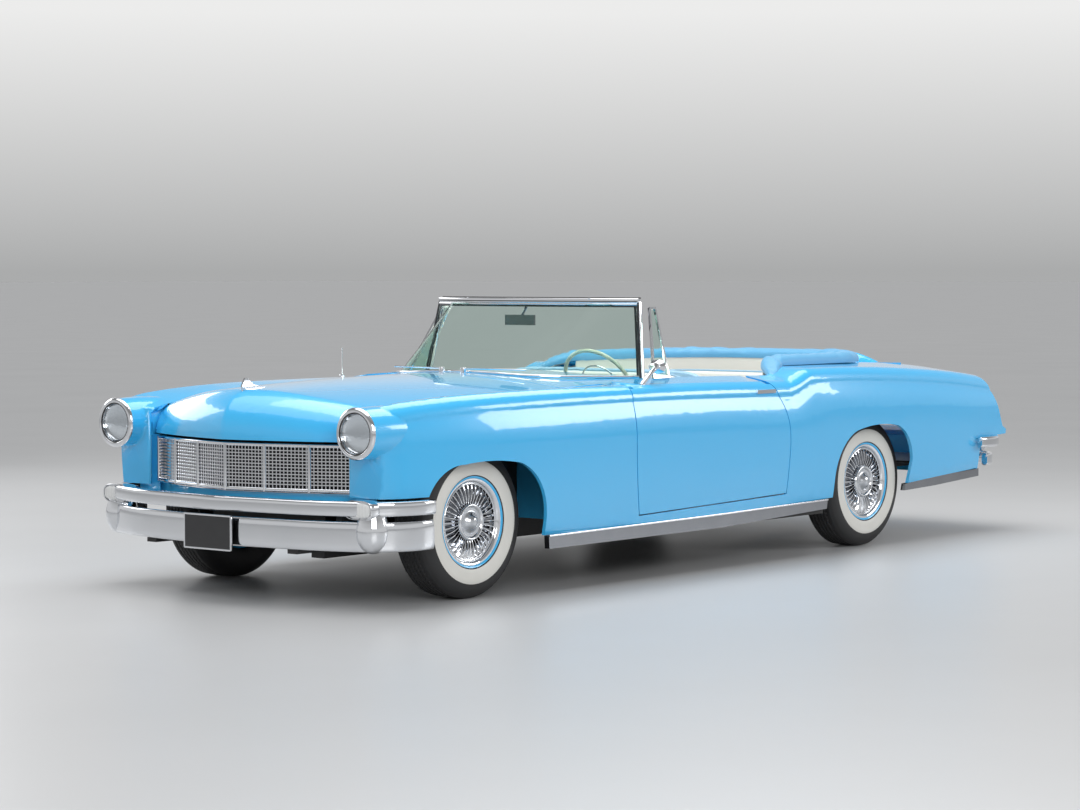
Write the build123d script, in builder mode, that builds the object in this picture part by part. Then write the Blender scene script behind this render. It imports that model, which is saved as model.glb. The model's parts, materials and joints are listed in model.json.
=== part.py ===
"""Mid-1950s luxury two-door convertible with its top down, in millimetres.

The origin is on the ground below the middle of the car, +X points forward, +Y to the car's left, +Z up.
Body stations are named from what they follow: the front axle, the rear axle or the tail.
"""
from build123d import *
import math
import os

os.makedirs("parts", exist_ok=True)

# ---- driving dimensions -------------------------------------------------------------------------
LENGTH = 5547.0            # over the bumpers
WIDTH = 1968.0             # over the creases of the doors
WHEELBASE = 3200.0
FRONT_OVERHANG = 850.0     # front axle to the tip of the front bumper
TRACK_FRONT = 1486.0
TRACK_REAR = 1524.0
AXLE_HEIGHT = 348.0
TYRE_RADIUS = 348.0
TYRE_WIDTH = 204.0
RIM_RADIUS = 204.0         # rim flange
PANEL = 18.0               # wall of the pressed body panels
SHUT_GAP = 6.0             # gap round each door and lid
SEAT_GAP = 0.3             # clearance where one piece rests on another

FRONT_AXLE_X = LENGTH / 2 - FRONT_OVERHANG
REAR_AXLE_X = FRONT_AXLE_X - WHEELBASE
TAIL_X = -LENGTH / 2
HALF_WIDTH = WIDTH / 2


def front(distance):
    """X of a station this far ahead of the front axle."""
    return FRONT_AXLE_X + distance


def rear(distance):
    """X of a station this far ahead of the rear axle."""
    return REAR_AXLE_X + distance


def tail(distance):
    """X of a station this far ahead of the rear bumper's tip."""
    return TAIL_X + distance


def cross_plane(x):
    """Plane across the car at X, whose local axes are Y and Z."""
    return Plane(origin=(x, 0, 0), x_dir=(0, 1, 0), z_dir=(1, 0, 0))


def side_plane(y):
    """Plane along the car at Y, whose local axes are X and Z and whose normal is -Y."""
    return Plane(origin=(0, y, 0), x_dir=(1, 0, 0), z_dir=(0, -1, 0))


def save(piece, name):
    """Labels a finished piece and writes its file."""
    piece.part.label = name
    export_step(piece.part, f"parts/{name}.step")


# ---- body side ----------------------------------------------------------------------------------
# Each row is one slice across the left side, from the bottom edge up over the shoulder:
# x, y_low, z_low, y_side, z_side, y_shoulder, z_shoulder, y_crown, z_crown, y_seam, z_seam
SILL_Z = 264.0             # bottom edge of the painted side, behind the front wheel
CREASE_Z = 698.0           # height of the widest line of the doors
CREASE_IN = HALF_WIDTH - 1.0
NOSE_ROWS = [
    (front(606), 790, SILL_Z, 838, 690, 836, 806, 795, 884, 620, 828),
    (front(540), 850, SILL_Z, 875, 694, 864, 815, 806, 897, 620, 840),
    (front(474), 872, SILL_Z, 894, CREASE_Z, 880, 823, 814, 906, 622, 850),
]
FENDER_ROWS = [
    NOSE_ROWS[-1],
    (front(66), 906, SILL_Z, 944, CREASE_Z, 922, 844, 850, 930, 640, 884),
    (front(-342), 920, SILL_Z, 967, CREASE_Z, 941, 852, 875, 937, 665, 908),
    (front(-750), 930, SILL_Z, CREASE_IN - 5, CREASE_Z, 952, 855, 892, 937, 695, 926),
    (front(-1158), 938, SILL_Z + 2, CREASE_IN, CREASE_Z - 1, 958, 856, 905, 935, 715, 940),
]
DOOR_INNER_Y = 800.0       # inner face of the doors
BELT_ROWS = [
    (front(-750), 930, SILL_Z, CREASE_IN - 5, CREASE_Z, 952, 855, 892, 937, DOOR_INNER_Y, 946),
    (front(-1158), 938, SILL_Z + 2, CREASE_IN, CREASE_Z - 1, 958, 856, 905, 935, DOOR_INNER_Y, 953),
    (front(-1566), 942, SILL_Z + 7, CREASE_IN, CREASE_Z - 6, 959, 852, 908, 932, DOOR_INNER_Y, 956),
    (front(-1974), 942, SILL_Z + 13, CREASE_IN, CREASE_Z - 10, 958, 845, 908, 925, DOOR_INNER_Y, 950),
    (rear(860), 941, SILL_Z + 20, CREASE_IN, CREASE_Z - 15, 956, 838, 906, 918, DOOR_INNER_Y, 942),
]
DECK_HALF = 700.0          # inner edge of the rear quarters
DECK_Z = 984.0             # top of the deck beside the rear seat
HIP_ROWS = [
    BELT_ROWS[-1],
    (rear(790), 941, SILL_Z + 21, CREASE_IN, CREASE_Z - 14, 956, 852, 906, 932, DECK_HALF + 70, 950),
    (rear(715), 940, SILL_Z + 22, CREASE_IN, CREASE_Z - 10, 957, 882, 905, 960, DECK_HALF + 30, 970),
    (rear(640), 940, SILL_Z + 23, CREASE_IN, CREASE_Z - 4, 957, 900, 904, 976, DECK_HALF, DECK_Z),
]
QUARTER_ROWS = [
    HIP_ROWS[-1],
    (rear(450), 938, SILL_Z + 28, CREASE_IN, CREASE_Z + 36, 957, 900, 903, 976, DECK_HALF, DECK_Z),
    (rear(120), 936, SILL_Z + 38, CREASE_IN - 2, CREASE_Z + 40, 953, 892, 899, 970, DECK_HALF, DECK_Z),
    (rear(-270), 930, SILL_Z + 58, 972, CREASE_Z + 34, 944, 876, 890, 954, DECK_HALF, DECK_Z - 6),
    (rear(-700), 918, SILL_Z + 82, 955, CREASE_Z + 24, 926, 850, 874, 928, DECK_HALF, DECK_Z - 32),
    (tail(407), 900, SILL_Z + 100, 930, CREASE_Z + 10, 900, 814, 850, 892, DECK_HALF, DECK_Z - 72),
]
FIN_ROWS = [
    QUARTER_ROWS[-1],
    (tail(247), 890, SILL_Z + 106, 918, CREASE_Z + 4, 888, 796, 838, 873, DECK_HALF, DECK_Z - 92),
    (tail(82), 880, SILL_Z + 112, 905, CREASE_Z - 4, 874, 776, 826, 852, DECK_HALF, DECK_Z - 114),
]
SIDE_BOW = 7.0             # outward bow of the side between its edges


def over_the_shoulder(row, wall):
    """Edges of a side slice from its bottom edge to its seam, moved inwards by the wall."""
    _, y_low, z_low, y_side, z_side, y_shoulder, z_shoulder, y_crown, z_crown, y_seam, z_seam = row
    low = (y_low - wall, z_low)
    side = (y_side - wall, z_side)
    shoulder = (y_shoulder - wall, z_shoulder - wall / 4)
    crown = (y_crown - wall / 4, z_crown - wall)
    seam = (y_seam, z_seam - wall)
    low_mid = ((low[0] + side[0]) / 2 + SIDE_BOW, (low[1] + side[1]) / 2)
    high_mid = ((side[0] + shoulder[0]) / 2 + SIDE_BOW, (side[1] + shoulder[1]) / 2)
    turn = math.sqrt(0.5)
    turn_mid = (crown[0] + turn * (shoulder[0] - crown[0]), shoulder[1] + turn * (crown[1] - shoulder[1]))
    ThreePointArc(low, low_mid, side)
    ThreePointArc(side, high_mid, shoulder)
    ThreePointArc(shoulder, turn_mid, crown)
    Line(crown, seam)
    return low, seam


def shell_slice(row):
    """C-shaped slice of a pressed panel, open to the inside of the car."""
    with BuildSketch(cross_plane(row[0])) as slice_:
        with BuildLine():
            low, seam = over_the_shoulder(row, 0)
            inner_low, inner_seam = over_the_shoulder(row, PANEL)
            Line(low, inner_low)
            Line(seam, inner_seam)
        make_face()
    return slice_.sketch


def solid_slice(row):
    """Filled slice from the outer skin to the vertical line below the seam."""
    with BuildSketch(cross_plane(row[0])) as slice_:
        with BuildLine():
            low, seam = over_the_shoulder(row, 0)
            Line(seam, (seam[0], low[1]))
            Line((seam[0], low[1]), low)
        make_face()
    return slice_.sketch




def side_cut(sketch, y_from, y_to):
    """Solid made by carrying a side-view sketch across the car from one Y to another."""
    return extrude(sketch, amount=y_to - y_from, dir=(0, 1, 0), mode=Mode.PRIVATE)


def side_polygon(y, points):
    """Side-view polygon at Y."""
    with BuildSketch(side_plane(y)) as face:
        with BuildLine():
            Polyline(*points, close=True)
        make_face()
    return face.sketch


def box_between(low, high):
    """Box between two opposite corners."""
    size = [abs(b - a) for a, b in zip(low, high)]
    centre = [(a + b) / 2 for a, b in zip(low, high)]
    return Pos(*centre) * Box(*size, mode=Mode.PRIVATE)


# ---- side openings ------------------------------------------------------------------------------
ARCH_REACH = 500.0         # the cutters run from this Y outwards
ARCH_TOP = 630.0
PAN_Z = 488.0              # lower edge of the fender ahead of the wheel
REAR_ARCH_TOP = 661.0


def front_arch():
    """Side-view outline of the front wheel opening and of what is open ahead of it."""
    with BuildSketch(side_plane(ARCH_REACH)) as face:
        with BuildLine():
            Polyline((front(372), PAN_Z), (front(900), PAN_Z), (front(900), 50), (front(-405), 50), (front(-405), 330))
            ThreePointArc((front(-405), 330), (front(-345), ARCH_TOP - 122), (front(-200), ARCH_TOP - 18))
            ThreePointArc((front(-200), ARCH_TOP - 18), (front(-20), ARCH_TOP), (front(160), ARCH_TOP - 9))
            ThreePointArc((front(160), ARCH_TOP - 9), (front(300), ARCH_TOP - 52), (front(372), PAN_Z))
        make_face()
    return side_cut(face.sketch, ARCH_REACH, HALF_WIDTH + 50)


def rear_arch():
    """Side-view outline of the rear wheel opening."""
    with BuildSketch(side_plane(WHEELHOUSE_Y + PANEL)) as face:
        with BuildLine():
            Polyline((rear(-325), 450), (rear(-300), 280), (rear(-296), 50), (rear(440), 50), (rear(440), 380))
            ThreePointArc((rear(440), 380), (rear(392), REAR_ARCH_TOP - 116), (rear(262), REAR_ARCH_TOP - 24))
            ThreePointArc((rear(262), REAR_ARCH_TOP - 24), (rear(60), REAR_ARCH_TOP), (rear(-140), REAR_ARCH_TOP - 13))
            ThreePointArc((rear(-140), REAR_ARCH_TOP - 13), (rear(-262), REAR_ARCH_TOP - 85), (rear(-325), 450))
        make_face()
    return side_cut(face.sketch, WHEELHOUSE_Y + PANEL, HALF_WIDTH + 50)


DOOR_FRONT = front(-1022)  # foremost point of the door's front edge
DOOR_REAR = rear(882)      # rearmost point of the door's rear edge
DOOR_BOTTOM = 308.0


def door_outline(inset, y=600.0):
    """Side-view outline of a door at Y, open above the belt, drawn in by the inset."""
    with BuildSketch(side_plane(y)) as face:
        with BuildLine():
            ThreePointArc((DOOR_FRONT - 16, 1030), (DOOR_FRONT, 700), (DOOR_FRONT - 66, DOOR_BOTTOM))
            Line((DOOR_FRONT - 66, DOOR_BOTTOM), (DOOR_REAR, DOOR_BOTTOM + 30))
            Line((DOOR_REAR, DOOR_BOTTOM + 30), (DOOR_REAR, 560))
            ThreePointArc((DOOR_REAR, 560), (DOOR_REAR + 48, 790), (DOOR_REAR + 262, 1030))
            Line((DOOR_REAR + 262, 1030), (DOOR_FRONT - 16, 1030))
        make_face()
        if inset:
            offset(amount=-inset, kind=Kind.INTERSECTION)
    return face.sketch


# ---- plan lines ---------------------------------------------------------------------------------
HOOD_REAR = front(-730)
SEAM_FRONT_Y = 643.0       # hood seam at the nose
SEAM_REAR_Y = 752.0        # and at the screen


def hood_plan(inset):
    """Plan outline between the hood seams, drawn in by the inset, from the nose to behind the dash."""
    with BuildSketch(Plane.XY) as plan:
        with BuildLine():
            seam = ThreePointArc(
                (front(900), SEAM_FRONT_Y - 30 - inset),
                (front(0), (SEAM_FRONT_Y + SEAM_REAR_Y) / 2 - inset),
                (front(-1050), SEAM_REAR_Y - inset),
            )
            Line(seam @ 1, (front(-1050), 0))
            Line((front(-1050), 0), (front(900), 0))
            Line((front(900), 0), seam @ 0)
        make_face()
        mirror(about=Plane.XZ)
    return plan.sketch


# ---- fenders ------------------------------------------------------------------------------------
LAMP_Y = 770.0
LAMP_Z = 776.0
LAMP_RADIUS = 112.0        # chrome ring round the headlamp
LAMP_FACE = front(690)
RAIL_OUTER = 460.0         # outer face of the frame rails
RAIL_TOP = 299.7
APRON = 8.0                # thickness of the inner fender

with BuildPart() as fender_left:
    loft(sections=[shell_slice(row) for row in NOSE_ROWS])
    loft(sections=[shell_slice(row) for row in FENDER_ROWS])
    nose = solid_slice(NOSE_ROWS[0])
    extrude(nose, amount=PANEL, dir=(-1, 0, 0))
    with BuildSketch(side_plane(LAMP_Y)) as pod:
        with BuildLine():
            Polyline((front(280), LAMP_Z), (LAMP_FACE, LAMP_Z), (LAMP_FACE, LAMP_Z + LAMP_RADIUS))
            ThreePointArc(
                (LAMP_FACE, LAMP_Z + LAMP_RADIUS),
                (front(560), LAMP_Z + LAMP_RADIUS + 5),
                (front(280), LAMP_Z + LAMP_RADIUS - 12),
            )
            Line((front(280), LAMP_Z + LAMP_RADIUS - 12), (front(280), LAMP_Z))
        make_face()
    revolve(axis=Axis((0, LAMP_Y, LAMP_Z), (1, 0, 0)))
    with Locations(Plane(origin=(LAMP_FACE, LAMP_Y, LAMP_Z), z_dir=(1, 0, 0))):
        Cylinder(LAMP_RADIUS - 16, 60, align=(Align.CENTER, Align.CENTER, Align.CENTER), mode=Mode.SUBTRACT)
    add(front_arch(), mode=Mode.SUBTRACT)
    # the hood opening
    extrude(hood_plan(0), amount=1200, mode=Mode.SUBTRACT)
    # behind the door's front edge
    add(side_cut(door_outline(0), 600, HALF_WIDTH + 50), mode=Mode.SUBTRACT)
    add(box_between((front(-1300), 500, 200), (DOOR_FRONT - 68, 1100, 1100)), mode=Mode.SUBTRACT)
    # inner fender from the frame rail up to the hood seam
    with BuildSketch(cross_plane(front(460))) as apron:
        with BuildLine():
            Polyline(
                (RAIL_OUTER, 250), (RAIL_OUTER, 712), (SEAM_FRONT_Y + 12, 812), (SEAM_FRONT_Y + 28, 812),
                (RAIL_OUTER + APRON, 706), (RAIL_OUTER + APRON, 250), close=True,
            )
        make_face()
    with BuildSketch(cross_plane(front(-745))) as apron_rear:
        with BuildLine():
            Polyline(
                (RAIL_OUTER, 250), (RAIL_OUTER, 742), (SEAM_REAR_Y - 14, 912), (SEAM_REAR_Y + 2, 912),
                (RAIL_OUTER + APRON, 736), (RAIL_OUTER + APRON, 250), close=True,
            )
        make_face()
    loft(sections=[apron.sketch, apron_rear.sketch])
save(fender_left, "fender_left")

with BuildPart() as fender_right:
    mirror(fender_left.part, about=Plane.XZ)
save(fender_right, "fender_right")

# ---- hood ---------------------------------------------------------------------------------------
HOOD_SKIN = 20.0
# y, x_lip, z_lip, x_nose, z_nose, x_brow, z_brow, x_mid, z_mid, z_rear
HOOD_ROWS = [
    (0, front(755), 728, front(722), 866, front(600), 950, front(0), 973, 986),
    (260, front(702), 728, front(668), 854, front(552), 935, front(-40), 961, 976),
    (520, front(618), 728, front(586), 826, front(480), 893, front(-80), 929, 955),
    (780, front(492), 728, front(464), 790, front(380), 838, front(-120), 884, 924),
]
HOOD_GAP = SHUT_GAP
GRILLE_TOP = 716.0


def hood_slice(row):
    """Side-view slice of the hood skin."""
    y, x_lip, z_lip, x_nose, z_nose, x_brow, z_brow, x_mid, z_mid, z_rear = row
    skin = HOOD_SKIN
    with BuildSketch(side_plane(y)) as slice_:
        with BuildLine():
            ThreePointArc((x_lip, z_lip), (x_nose, z_nose), (x_brow, z_brow))
            ThreePointArc((x_brow, z_brow), (x_mid, z_mid), (HOOD_REAR, z_rear))
            Line((HOOD_REAR, z_rear), (HOOD_REAR, z_rear - skin))
            ThreePointArc((HOOD_REAR, z_rear - skin), (x_mid, z_mid - skin), (x_brow - skin / 2, z_brow - skin))
            ThreePointArc(
                (x_brow - skin / 2, z_brow - skin), (x_nose - skin, z_nose - skin / 2), (x_lip - skin, z_lip)
            )
            Line((x_lip - skin, z_lip), (x_lip, z_lip))
        make_face()
    return slice_.sketch


with BuildPart() as hood:
    loft(sections=[hood_slice(row) for row in HOOD_ROWS])
    mirror(about=Plane.XZ)
    extrude(hood_plan(HOOD_GAP), amount=1200, mode=Mode.INTERSECT)
save(hood, "hood")

# ---- windscreen ---------------------------------------------------------------------------------
GLASS = 6.0
SCREEN_BASE_Z = 955.0
SCREEN_TOP_Z = 1318.0
# x_middle, x_bend, y_bend, x_corner, y_corner, x_end, y_end of the glass's outer face
SCREEN_BASE = (front(-845), front(-893), 380, front(-1057), 566, front(-1398), 700)
SCREEN_TOP = (front(-1372), front(-1390), 380, front(-1416), 540, front(-1452), 644)


def screen_front(shape, ahead, outward):
    """Draws the plan curve of the screen from right to left, moved ahead and outwards."""
    x_middle, x_bend, y_bend, x_corner, y_corner, x_end, y_end = shape
    bend = (x_bend + ahead, y_bend)
    corner = (x_corner + ahead, y_corner + outward)
    end = (x_end + ahead, y_end + outward)
    left = ((x_bend + x_corner) / 2 + ahead + 22, (y_bend + y_corner) / 2 + 22 + outward / 2)
    Line((end[0], -end[1]), (corner[0], -corner[1]))
    ThreePointArc((corner[0], -corner[1]), (left[0], -left[1]), (bend[0], -bend[1]))
    ThreePointArc((bend[0], -bend[1]), (x_middle + ahead, 0), bend)
    ThreePointArc(bend, left, corner)
    Line(corner, end)
    return end


def screen_region(ahead, outward):
    """Solid of all that lies behind the screen's outer face, moved ahead and outwards."""
    faces = []
    for shape, z in ((SCREEN_BASE, SCREEN_BASE_Z), (SCREEN_TOP, SCREEN_TOP_Z)):
        with BuildSketch(Plane.XY.offset(z)) as face:
            with BuildLine():
                end = screen_front(shape, ahead, outward)
                Polyline(end, (front(-1600), end[1]), (front(-1600), -end[1]), (end[0], -end[1]))
            make_face()
        faces.append(face.sketch)
    below = extrude(faces[0], amount=300, dir=(0, 0, -1), mode=Mode.PRIVATE)
    return loft(sections=faces, ruled=True, mode=Mode.PRIVATE) + below


def screen_sheet(z_low, z_high, ahead, behind, outward, inward):
    """Sheet that follows the screen from its base to its top, between two moves of its outer face."""
    faces = []
    for shape, z in ((SCREEN_BASE, SCREEN_BASE_Z), (SCREEN_TOP, SCREEN_TOP_Z)):
        with BuildSketch(Plane.XY.offset(z)) as face:
            with BuildLine():
                out_end = screen_front(shape, ahead, outward)
                in_end = screen_front(shape, -behind, -inward)
                Line(out_end, in_end)
                Line((out_end[0], -out_end[1]), (in_end[0], -in_end[1]))
            make_face()
        faces.append(face.sketch)
    sheet = loft(sections=faces, ruled=True, mode=Mode.PRIVATE)
    slab = box_between((front(-1700), -1000, z_low), (front(-500), 1000, z_high))
    return sheet & slab


PILLAR = 30.0              # width of a screen pillar
with BuildPart() as windscreen_glass:
    add(screen_sheet(SCREEN_BASE_Z, SCREEN_TOP_Z - SEAT_GAP, 0, GLASS, 0, GLASS))


save(windscreen_glass, "windscreen_glass")

HEADER_HEIGHT = 30.0
BASE_TRIM = 14.0
PILLAR_BASE = (SCREEN_BASE[5] - 20, SCREEN_BASE[6] + 4)
PILLAR_TOP = (SCREEN_TOP[5] - 18, SCREEN_TOP[6] + 2)
HEADER_Z = SCREEN_TOP_Z + HEADER_HEIGHT
with BuildPart() as windscreen_frame:
    # header rail along the top of the glass
    with BuildSketch(Plane.XY.offset(SCREEN_TOP_Z)) as header:
        with BuildLine():
            out_end = screen_front(SCREEN_TOP, 12, 8)
            in_end = screen_front(SCREEN_TOP, -38, -14)
            Line(out_end, in_end)
            Line((out_end[0], -out_end[1]), (in_end[0], -in_end[1]))
        make_face()
    extrude(amount=HEADER_HEIGHT)
    for side in (1, -1):
        with BuildSketch(Plane.XY.offset(SCREEN_BASE_Z)) as foot:
            with Locations((PILLAR_BASE[0], side * PILLAR_BASE[1])):
                Rectangle(PILLAR, PILLAR)
        with BuildSketch(Plane.XY.offset(HEADER_Z)) as head:
            with Locations((PILLAR_TOP[0], side * PILLAR_TOP[1])):
                Rectangle(PILLAR, PILLAR - 4)
        loft(sections=[foot.sketch, head.sketch])
    add(screen_sheet(SCREEN_BASE_Z, SCREEN_TOP_Z, SEAT_GAP, GLASS + SEAT_GAP, SEAT_GAP, GLASS + SEAT_GAP),
        mode=Mode.SUBTRACT)
save(windscreen_frame, "windscreen_frame")

# ---- cowl, firewall and dash --------------------------------------------------------------------
COWL_SKIN = 16.0
COWL_FRONT = HOOD_REAR - SHUT_GAP
COWL_SIDE_Y = 788.0        # side of the cowl inside the doors
DASH_REAR = front(-1290)
FIREWALL = 12.0
FIREWALL_X = front(-748)
FLOOR_Z = 300.0
FLOOR_SKIN = 12.0
TUNNEL_HALF = 84.0
TUNNEL_TOP = 430.0
# y, z_front, z_rear of the cowl's top
COWL_ROWS = [(0, 986, 988), (400, 966, 978), (COWL_SIDE_Y, 923, 950)]


def cowl_slice(row):
    """Side-view slice of the cowl's top skin."""
    y, z_front, z_rear = row
    return side_polygon(y, [
        (COWL_FRONT, z_front), (front(-1450), z_rear),
        (front(-1450), z_rear - COWL_SKIN), (COWL_FRONT, z_front - COWL_SKIN),
    ])


def cowl_top():
    """The skin from the hood to behind the dash, over the whole width between the doors."""
    half = loft(sections=[cowl_slice(row) for row in COWL_ROWS], mode=Mode.PRIVATE)
    return half + mirror(half, about=Plane.XZ, mode=Mode.PRIVATE)


with BuildPart() as cowl:
    add(cowl_top())
    # inside the fender seams as far back as the doors, and as wide as the doors leave behind them
    with BuildSketch(Plane.XY) as wide:
        add(hood_plan(SEAT_GAP))
        with Locations((front(-1250), 0)):
            Rectangle(2 * (front(-1040) - front(-1250)), 2 * COWL_SIDE_Y)
    extrude(wide.sketch, amount=1200, mode=Mode.INTERSECT)
    add(screen_region(SEAT_GAP, SEAT_GAP), mode=Mode.SUBTRACT)
    add(windscreen_frame.part, mode=Mode.SUBTRACT)
    # firewall
    with BuildSketch(cross_plane(FIREWALL_X)) as wall:
        with BuildLine():
            Polyline((0, FLOOR_Z), (735, FLOOR_Z), (735, 905), (400, 955), (0, 975), close=False)
            Line((0, 975), (0, FLOOR_Z))
        make_face()
        mirror(about=Plane.YZ)
    extrude(wall.sketch, amount=FIREWALL, dir=(-1, 0, 0))
    # the tunnel goes on through the firewall
    add(box_between((FIREWALL_X - 50, FLOOR_SKIN - TUNNEL_HALF, FLOOR_Z - 10),
                    (FIREWALL_X + 10, TUNNEL_HALF - FLOOR_SKIN, TUNNEL_TOP - FLOOR_SKIN)), mode=Mode.SUBTRACT)
save(cowl, "cowl")

DASH_BOTTOM = 812.0
with BuildPart() as dashboard:
    add(cowl_top())
    with BuildSketch(side_plane(0)) as body:
        with BuildLine():
            Polyline(
                (front(-1180), DASH_BOTTOM), (front(-1262), DASH_BOTTOM), (DASH_REAR, DASH_BOTTOM + 50),
                (DASH_REAR, 972), (front(-1180), 972), close=True,
            )
        make_face()
    extrude(body.sketch, amount=720, both=True)
    add(screen_region(-GLASS - SEAT_GAP, -GLASS - SEAT_GAP), mode=Mode.INTERSECT)
    add(box_between((DASH_REAR, -900, 500), (front(-500), 900, 1200)), mode=Mode.INTERSECT)
save(dashboard, "dashboard")

# ---- doors --------------------------------------------------------------------------------------
DOOR_SKIN_Y = 935.0        # the door is full size outside this Y and drawn in inside it
JAMB = 26.0
with BuildPart() as door_left:
    loft(sections=[solid_slice(row) for row in BELT_ROWS])
    add(side_cut(door_outline(SHUT_GAP), 600, HALF_WIDTH + 50), mode=Mode.INTERSECT)
    with BuildSketch(side_plane(700)) as rebate:
        add(door_outline(SHUT_GAP - 20, 700))
        add(door_outline(SHUT_GAP + JAMB, 700), mode=Mode.SUBTRACT)
    add(side_cut(rebate.sketch, 700, DOOR_SKIN_Y), mode=Mode.SUBTRACT)
save(door_left, "door_left")

with BuildPart() as door_right:
    mirror(door_left.part, about=Plane.XZ)
save(door_right, "door_right")

# ---- rear quarters ------------------------------------------------------------------------------
WHEELHOUSE_Y = 625.0       # inner face of the rear wheelhouses
WHEELHOUSE_TOP = 735.0
FIN_BOTTOM = 545.0
QUARTER_END = tail(412)    # rear edge of the quarters below the fins


def tail_waste():
    """Side-view cutter behind the quarter: round corner, slanted lamp face, then the bumper's notch."""
    with BuildSketch(side_plane(400)) as face:
        with BuildLine():
            Line((tail(500), 1200), (tail(440), 905))
            ThreePointArc((tail(440), 905), (tail(330), 868), (tail(240), 757))
            Polyline(
                (tail(240), 757), (tail(150), 590), (tail(104), 572), (tail(104), FIN_BOTTOM),
                (QUARTER_END, FIN_BOTTOM - 8), (QUARTER_END, 200), (tail(-100), 200), (tail(-100), 1200),
                (tail(500), 1200),
            )
        make_face()
    return side_cut(face.sketch, 400, HALF_WIDTH + 50)


with BuildPart() as quarter_left:
    loft(sections=[shell_slice(row) for row in BELT_ROWS])
    add(side_cut(door_outline(0), 600, HALF_WIDTH + 50), mode=Mode.SUBTRACT)
    add(box_between((DOOR_FRONT - 68 - SEAT_GAP, 500, 0), (front(0), 1100, 1200)), mode=Mode.SUBTRACT)
    loft(sections=[shell_slice(row) for row in HIP_ROWS])
    loft(sections=[shell_slice(row) for row in QUARTER_ROWS])
    loft(sections=[solid_slice(row) for row in FIN_ROWS])
    add(tail_waste(), mode=Mode.SUBTRACT)
    # wheelhouse: inner wall and roof
    add(box_between((rear(-450), WHEELHOUSE_Y, FLOOR_Z), (rear(470), WHEELHOUSE_Y + PANEL, WHEELHOUSE_TOP)))
    add(box_between((rear(-450), WHEELHOUSE_Y, WHEELHOUSE_TOP - PANEL), (rear(0), 958, WHEELHOUSE_TOP)))
    add(box_between((rear(0), WHEELHOUSE_Y, WHEELHOUSE_TOP - PANEL), (rear(470), 970, WHEELHOUSE_TOP)))
    # slot the axle moves in
    add(box_between((rear(-60), WHEELHOUSE_Y - 10, FLOOR_Z - 10), (rear(60), WHEELHOUSE_Y + PANEL + 10, 430)),
        mode=Mode.SUBTRACT)
    # inner wall of the fin
    fin_wall = side_polygon(DECK_HALF, [
        (tail(857), DECK_Z - 42), (tail(407), DECK_Z - 80), (tail(377), 560), (tail(857), 560),
    ])
    add(side_cut(fin_wall, DECK_HALF, DECK_HALF + PANEL))
    add(rear_arch(), mode=Mode.SUBTRACT)
save(quarter_left, "quarter_left")

with BuildPart() as quarter_right:
    mirror(quarter_left.part, about=Plane.XZ)
save(quarter_right, "quarter_right")

# ---- deck lid -----------------------------------------------------------------------------------
LID_FRONT = tail(897)
LID_SKIN = 20.0
LID_Z = DECK_Z - 16        # top of the lid's front edge
LID_HALF = DECK_HALF - SHUT_GAP
HUMP_RADIUS = 335.0        # wheel-shaped rise on the lid
HUMP_SLOPE = 41.0
HUMP_CENTRE = (tail(300), 772)
HUMP_RISE = 62.0
LID_LIP_Z = 588.0
# y, x_shoulder, z_shoulder, x_mid, z_mid, x_lip, z_lip behind the front edge
LID_ROWS = [
    (0, tail(640), 962, tail(420), 850, tail(108), LID_LIP_Z),
    (380, tail(645), 955, tail(430), 846, tail(122), LID_LIP_Z),
    (760, tail(655), 930, tail(450), 836, tail(150), LID_LIP_Z),
]


def lid_slice(row):
    """Side-view slice of the deck lid."""
    y, x_shoulder, z_shoulder, x_mid, z_mid, x_lip, z_lip = row
    z_front = LID_Z - (LID_ROWS[0][2] - z_shoulder)
    with BuildSketch(side_plane(y)) as slice_:
        with BuildLine():
            Line((LID_FRONT, z_front), (x_shoulder, z_shoulder))
            ThreePointArc((x_shoulder, z_shoulder), (x_mid, z_mid), (x_lip, z_lip))
            Line((x_lip, z_lip), (x_lip + LID_SKIN * 1.5, z_lip))
            ThreePointArc(
                (x_lip + LID_SKIN * 1.5, z_lip), (x_mid + LID_SKIN, z_mid - LID_SKIN),
                (x_shoulder + LID_SKIN / 4, z_shoulder - LID_SKIN),
            )
            Line((x_shoulder + LID_SKIN / 4, z_shoulder - LID_SKIN), (LID_FRONT, z_front - LID_SKIN))
            Line((LID_FRONT, z_front - LID_SKIN), (LID_FRONT, z_front))
        make_face()
    return slice_.sketch


hump_plane = Plane(
    origin=(HUMP_CENTRE[0], 0, HUMP_CENTRE[1]),
    x_dir=(0, 1, 0),
    z_dir=(-math.sin(math.radians(HUMP_SLOPE)), 0, math.cos(math.radians(HUMP_SLOPE))),
)
with BuildPart() as hump:
    with BuildSketch(hump_plane.offset(-40)):
        Circle(HUMP_RADIUS)
    extrude(amount=40 + HUMP_RISE)
    fillet(hump.faces().sort_by(Axis(hump_plane.origin, hump_plane.z_dir))[-1].edges(), radius=38)

with BuildPart() as deck_lid:
    loft(sections=[lid_slice(row) for row in LID_ROWS])
    mirror(about=Plane.XZ)
    add(hump.part)
    add(box_between((tail(0), -LID_HALF, LID_LIP_Z), (LID_FRONT, LID_HALF, 1200)), mode=Mode.INTERSECT)
save(deck_lid, "deck_lid")

# ---- fixed deck and tail panel ------------------------------------------------------------------
SEAT_WELL_FRONT = rear(640)
SEAT_WELL_REAR = tail(1127)
SEAT_WELL_HALF = 610.0
SEAT_WELL_CORNER = 430.0
DECK_SKIN = 16.0
TAIL_PANEL = 14.0          # thickness of the panel below the lid


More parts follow.
